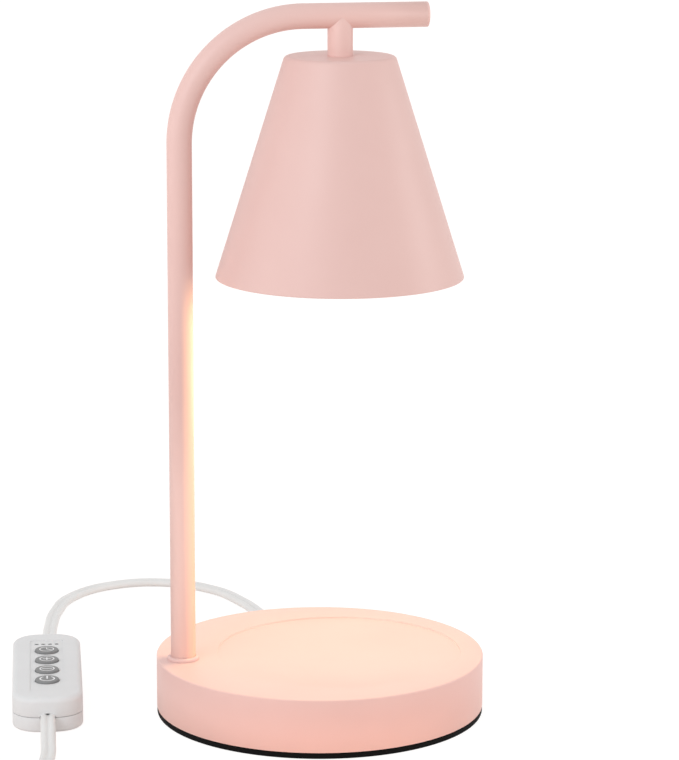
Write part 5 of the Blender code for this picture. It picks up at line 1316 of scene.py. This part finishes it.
def add_lamp(kind, name, place, aim, colour, power):
    """A lamp that looks at a point."""
    begin()
    turn = (Vector(aim) - Vector(place)).to_track_quat("-Z", "Y").to_euler()
    bpy.ops.object.light_add(type=kind, location=place, rotation=turn)
    lamp = bpy.context.object
    lamp.name = name
    lamp.data.color = linear(colour)[:3]
    lamp.data.energy = power
    return lamp


world = bpy.data.worlds.new("studio")
bpy.context.scene.world = world
world.use_nodes = True
tree = world.node_tree
sky = tree.nodes["Background"]
sky.inputs["Color"].default_value = (1, 1, 1, 1)
brightness = add_node(tree, "ShaderNodeMapRange",
                      {"Value": seen_share(tree), "To Min": WORLD_LIGHT, "To Max": 1.0})
tree.links.new(brightness.outputs["Result"], sky.inputs["Strength"])
for name, place, colour, size, power in (("key_softbox", (-1.2, -1.2, 1.0), "F2F8FF", 0.9, 8.4),
                                         ("fill_softbox", (1.6, -0.25, 0.4), "FFFFFF", 0.7, 4.9),
                                         ("side_softbox", (-1.6, -0.2, 0.4), "FFFFFF", 0.7, 1.7)):
    softbox = add_lamp("AREA", name, place, SOFTBOX_AIM, colour, power)
    softbox.data.size = size
print("world and three soft lamps")

# %% [markdown]
# ## The bulb's light
# The photographed lamp is on. Its warm light falls out of the shade on the base and the post's inner side,
# and comes back off the table and the candle. Nine spot lamps stand for it: one at the front glass, one
# each for the post's inner edge, the post's foot, the arm and the stem, and two low pairs for the base's
# side. They light the painted pieces and the pad alone, since box and cord show no warm light.

# %% The bulb's light
WARM, AMBER, EMBER, PEACH, ROSY, PALE = "FFE2B2", "FFD489", "FF953F", "FFEDE0", "FFDCCB", "F0FFF8"


def add_glow(name, colour, place, aim, degrees, edge, size, power, *receivers, widen=1.0):
    """A spot lamp that lights these pieces alone. Its cone can be wider than it is high."""
    lamp = add_lamp("SPOT", name, place, aim, colour, power)
    lamp.data.spot_size = math.radians(degrees)
    lamp.data.spot_blend = edge
    lamp.data.shadow_soft_size = size
    lamp.scale = (widen, 1, 1)
    lit = bpy.data.collections.new(f"lit_by_{name}")
    for piece in receivers:
        lit.objects.link(piece)
    lamp.light_linking.receiver_collection = lit


add_glow("bulb_light", WARM, (SHADE_X, 0.02, 208 * MM), (SHADE_X, 0, 0), 160, 0.3, 38 * MM, 0.95,
         pan, pad, tube, cap, collar, stem, shade)
add_glow("post_edge_glow", AMBER, (0.36, -0.05, 0.1), (POST_X, 0, 0.096), 27.4, 0.14, 12 * MM, 8.4, tube)
add_glow("post_foot_glow", PALE, (-0.35, -0.9, 0.05), (POST_X, 0, 0.03), 15, 1.0, 20 * MM, 16.0, tube)
add_glow("arm_glow", ROSY, (0.5, -0.9, 0.2), (0.055, 0, 0.318), 9, 1.0, 20 * MM, 3.8, tube, cap)
add_glow("stem_glow", PALE, (-0.5, -0.8, 0.3), (SHADE_X, 0, 0.306), 5, 1.0, 20 * MM, 4.0, stem)
for name, colour, x, height, degrees, power in (
        ("table_glow_left", EMBER, -0.7, -8, 5.8, 3.6), ("table_glow_right", EMBER, 0.5, -8, 5.8, 5.2),
        ("foot_glow_left", PEACH, -0.7, -25, 5.2, 18.0), ("foot_glow_right", PEACH, 0.5, -25, 5.2, 17.0)):
    add_glow(name, colour, (x, -0.85, 0.05), (-0.015, -0.07, height * MM), degrees, 1.0, 5 * MM, power,
             pan, widen=9.0)
bpy.context.scene.view_settings.view_transform = "Standard"
print("nine small spot lamps")
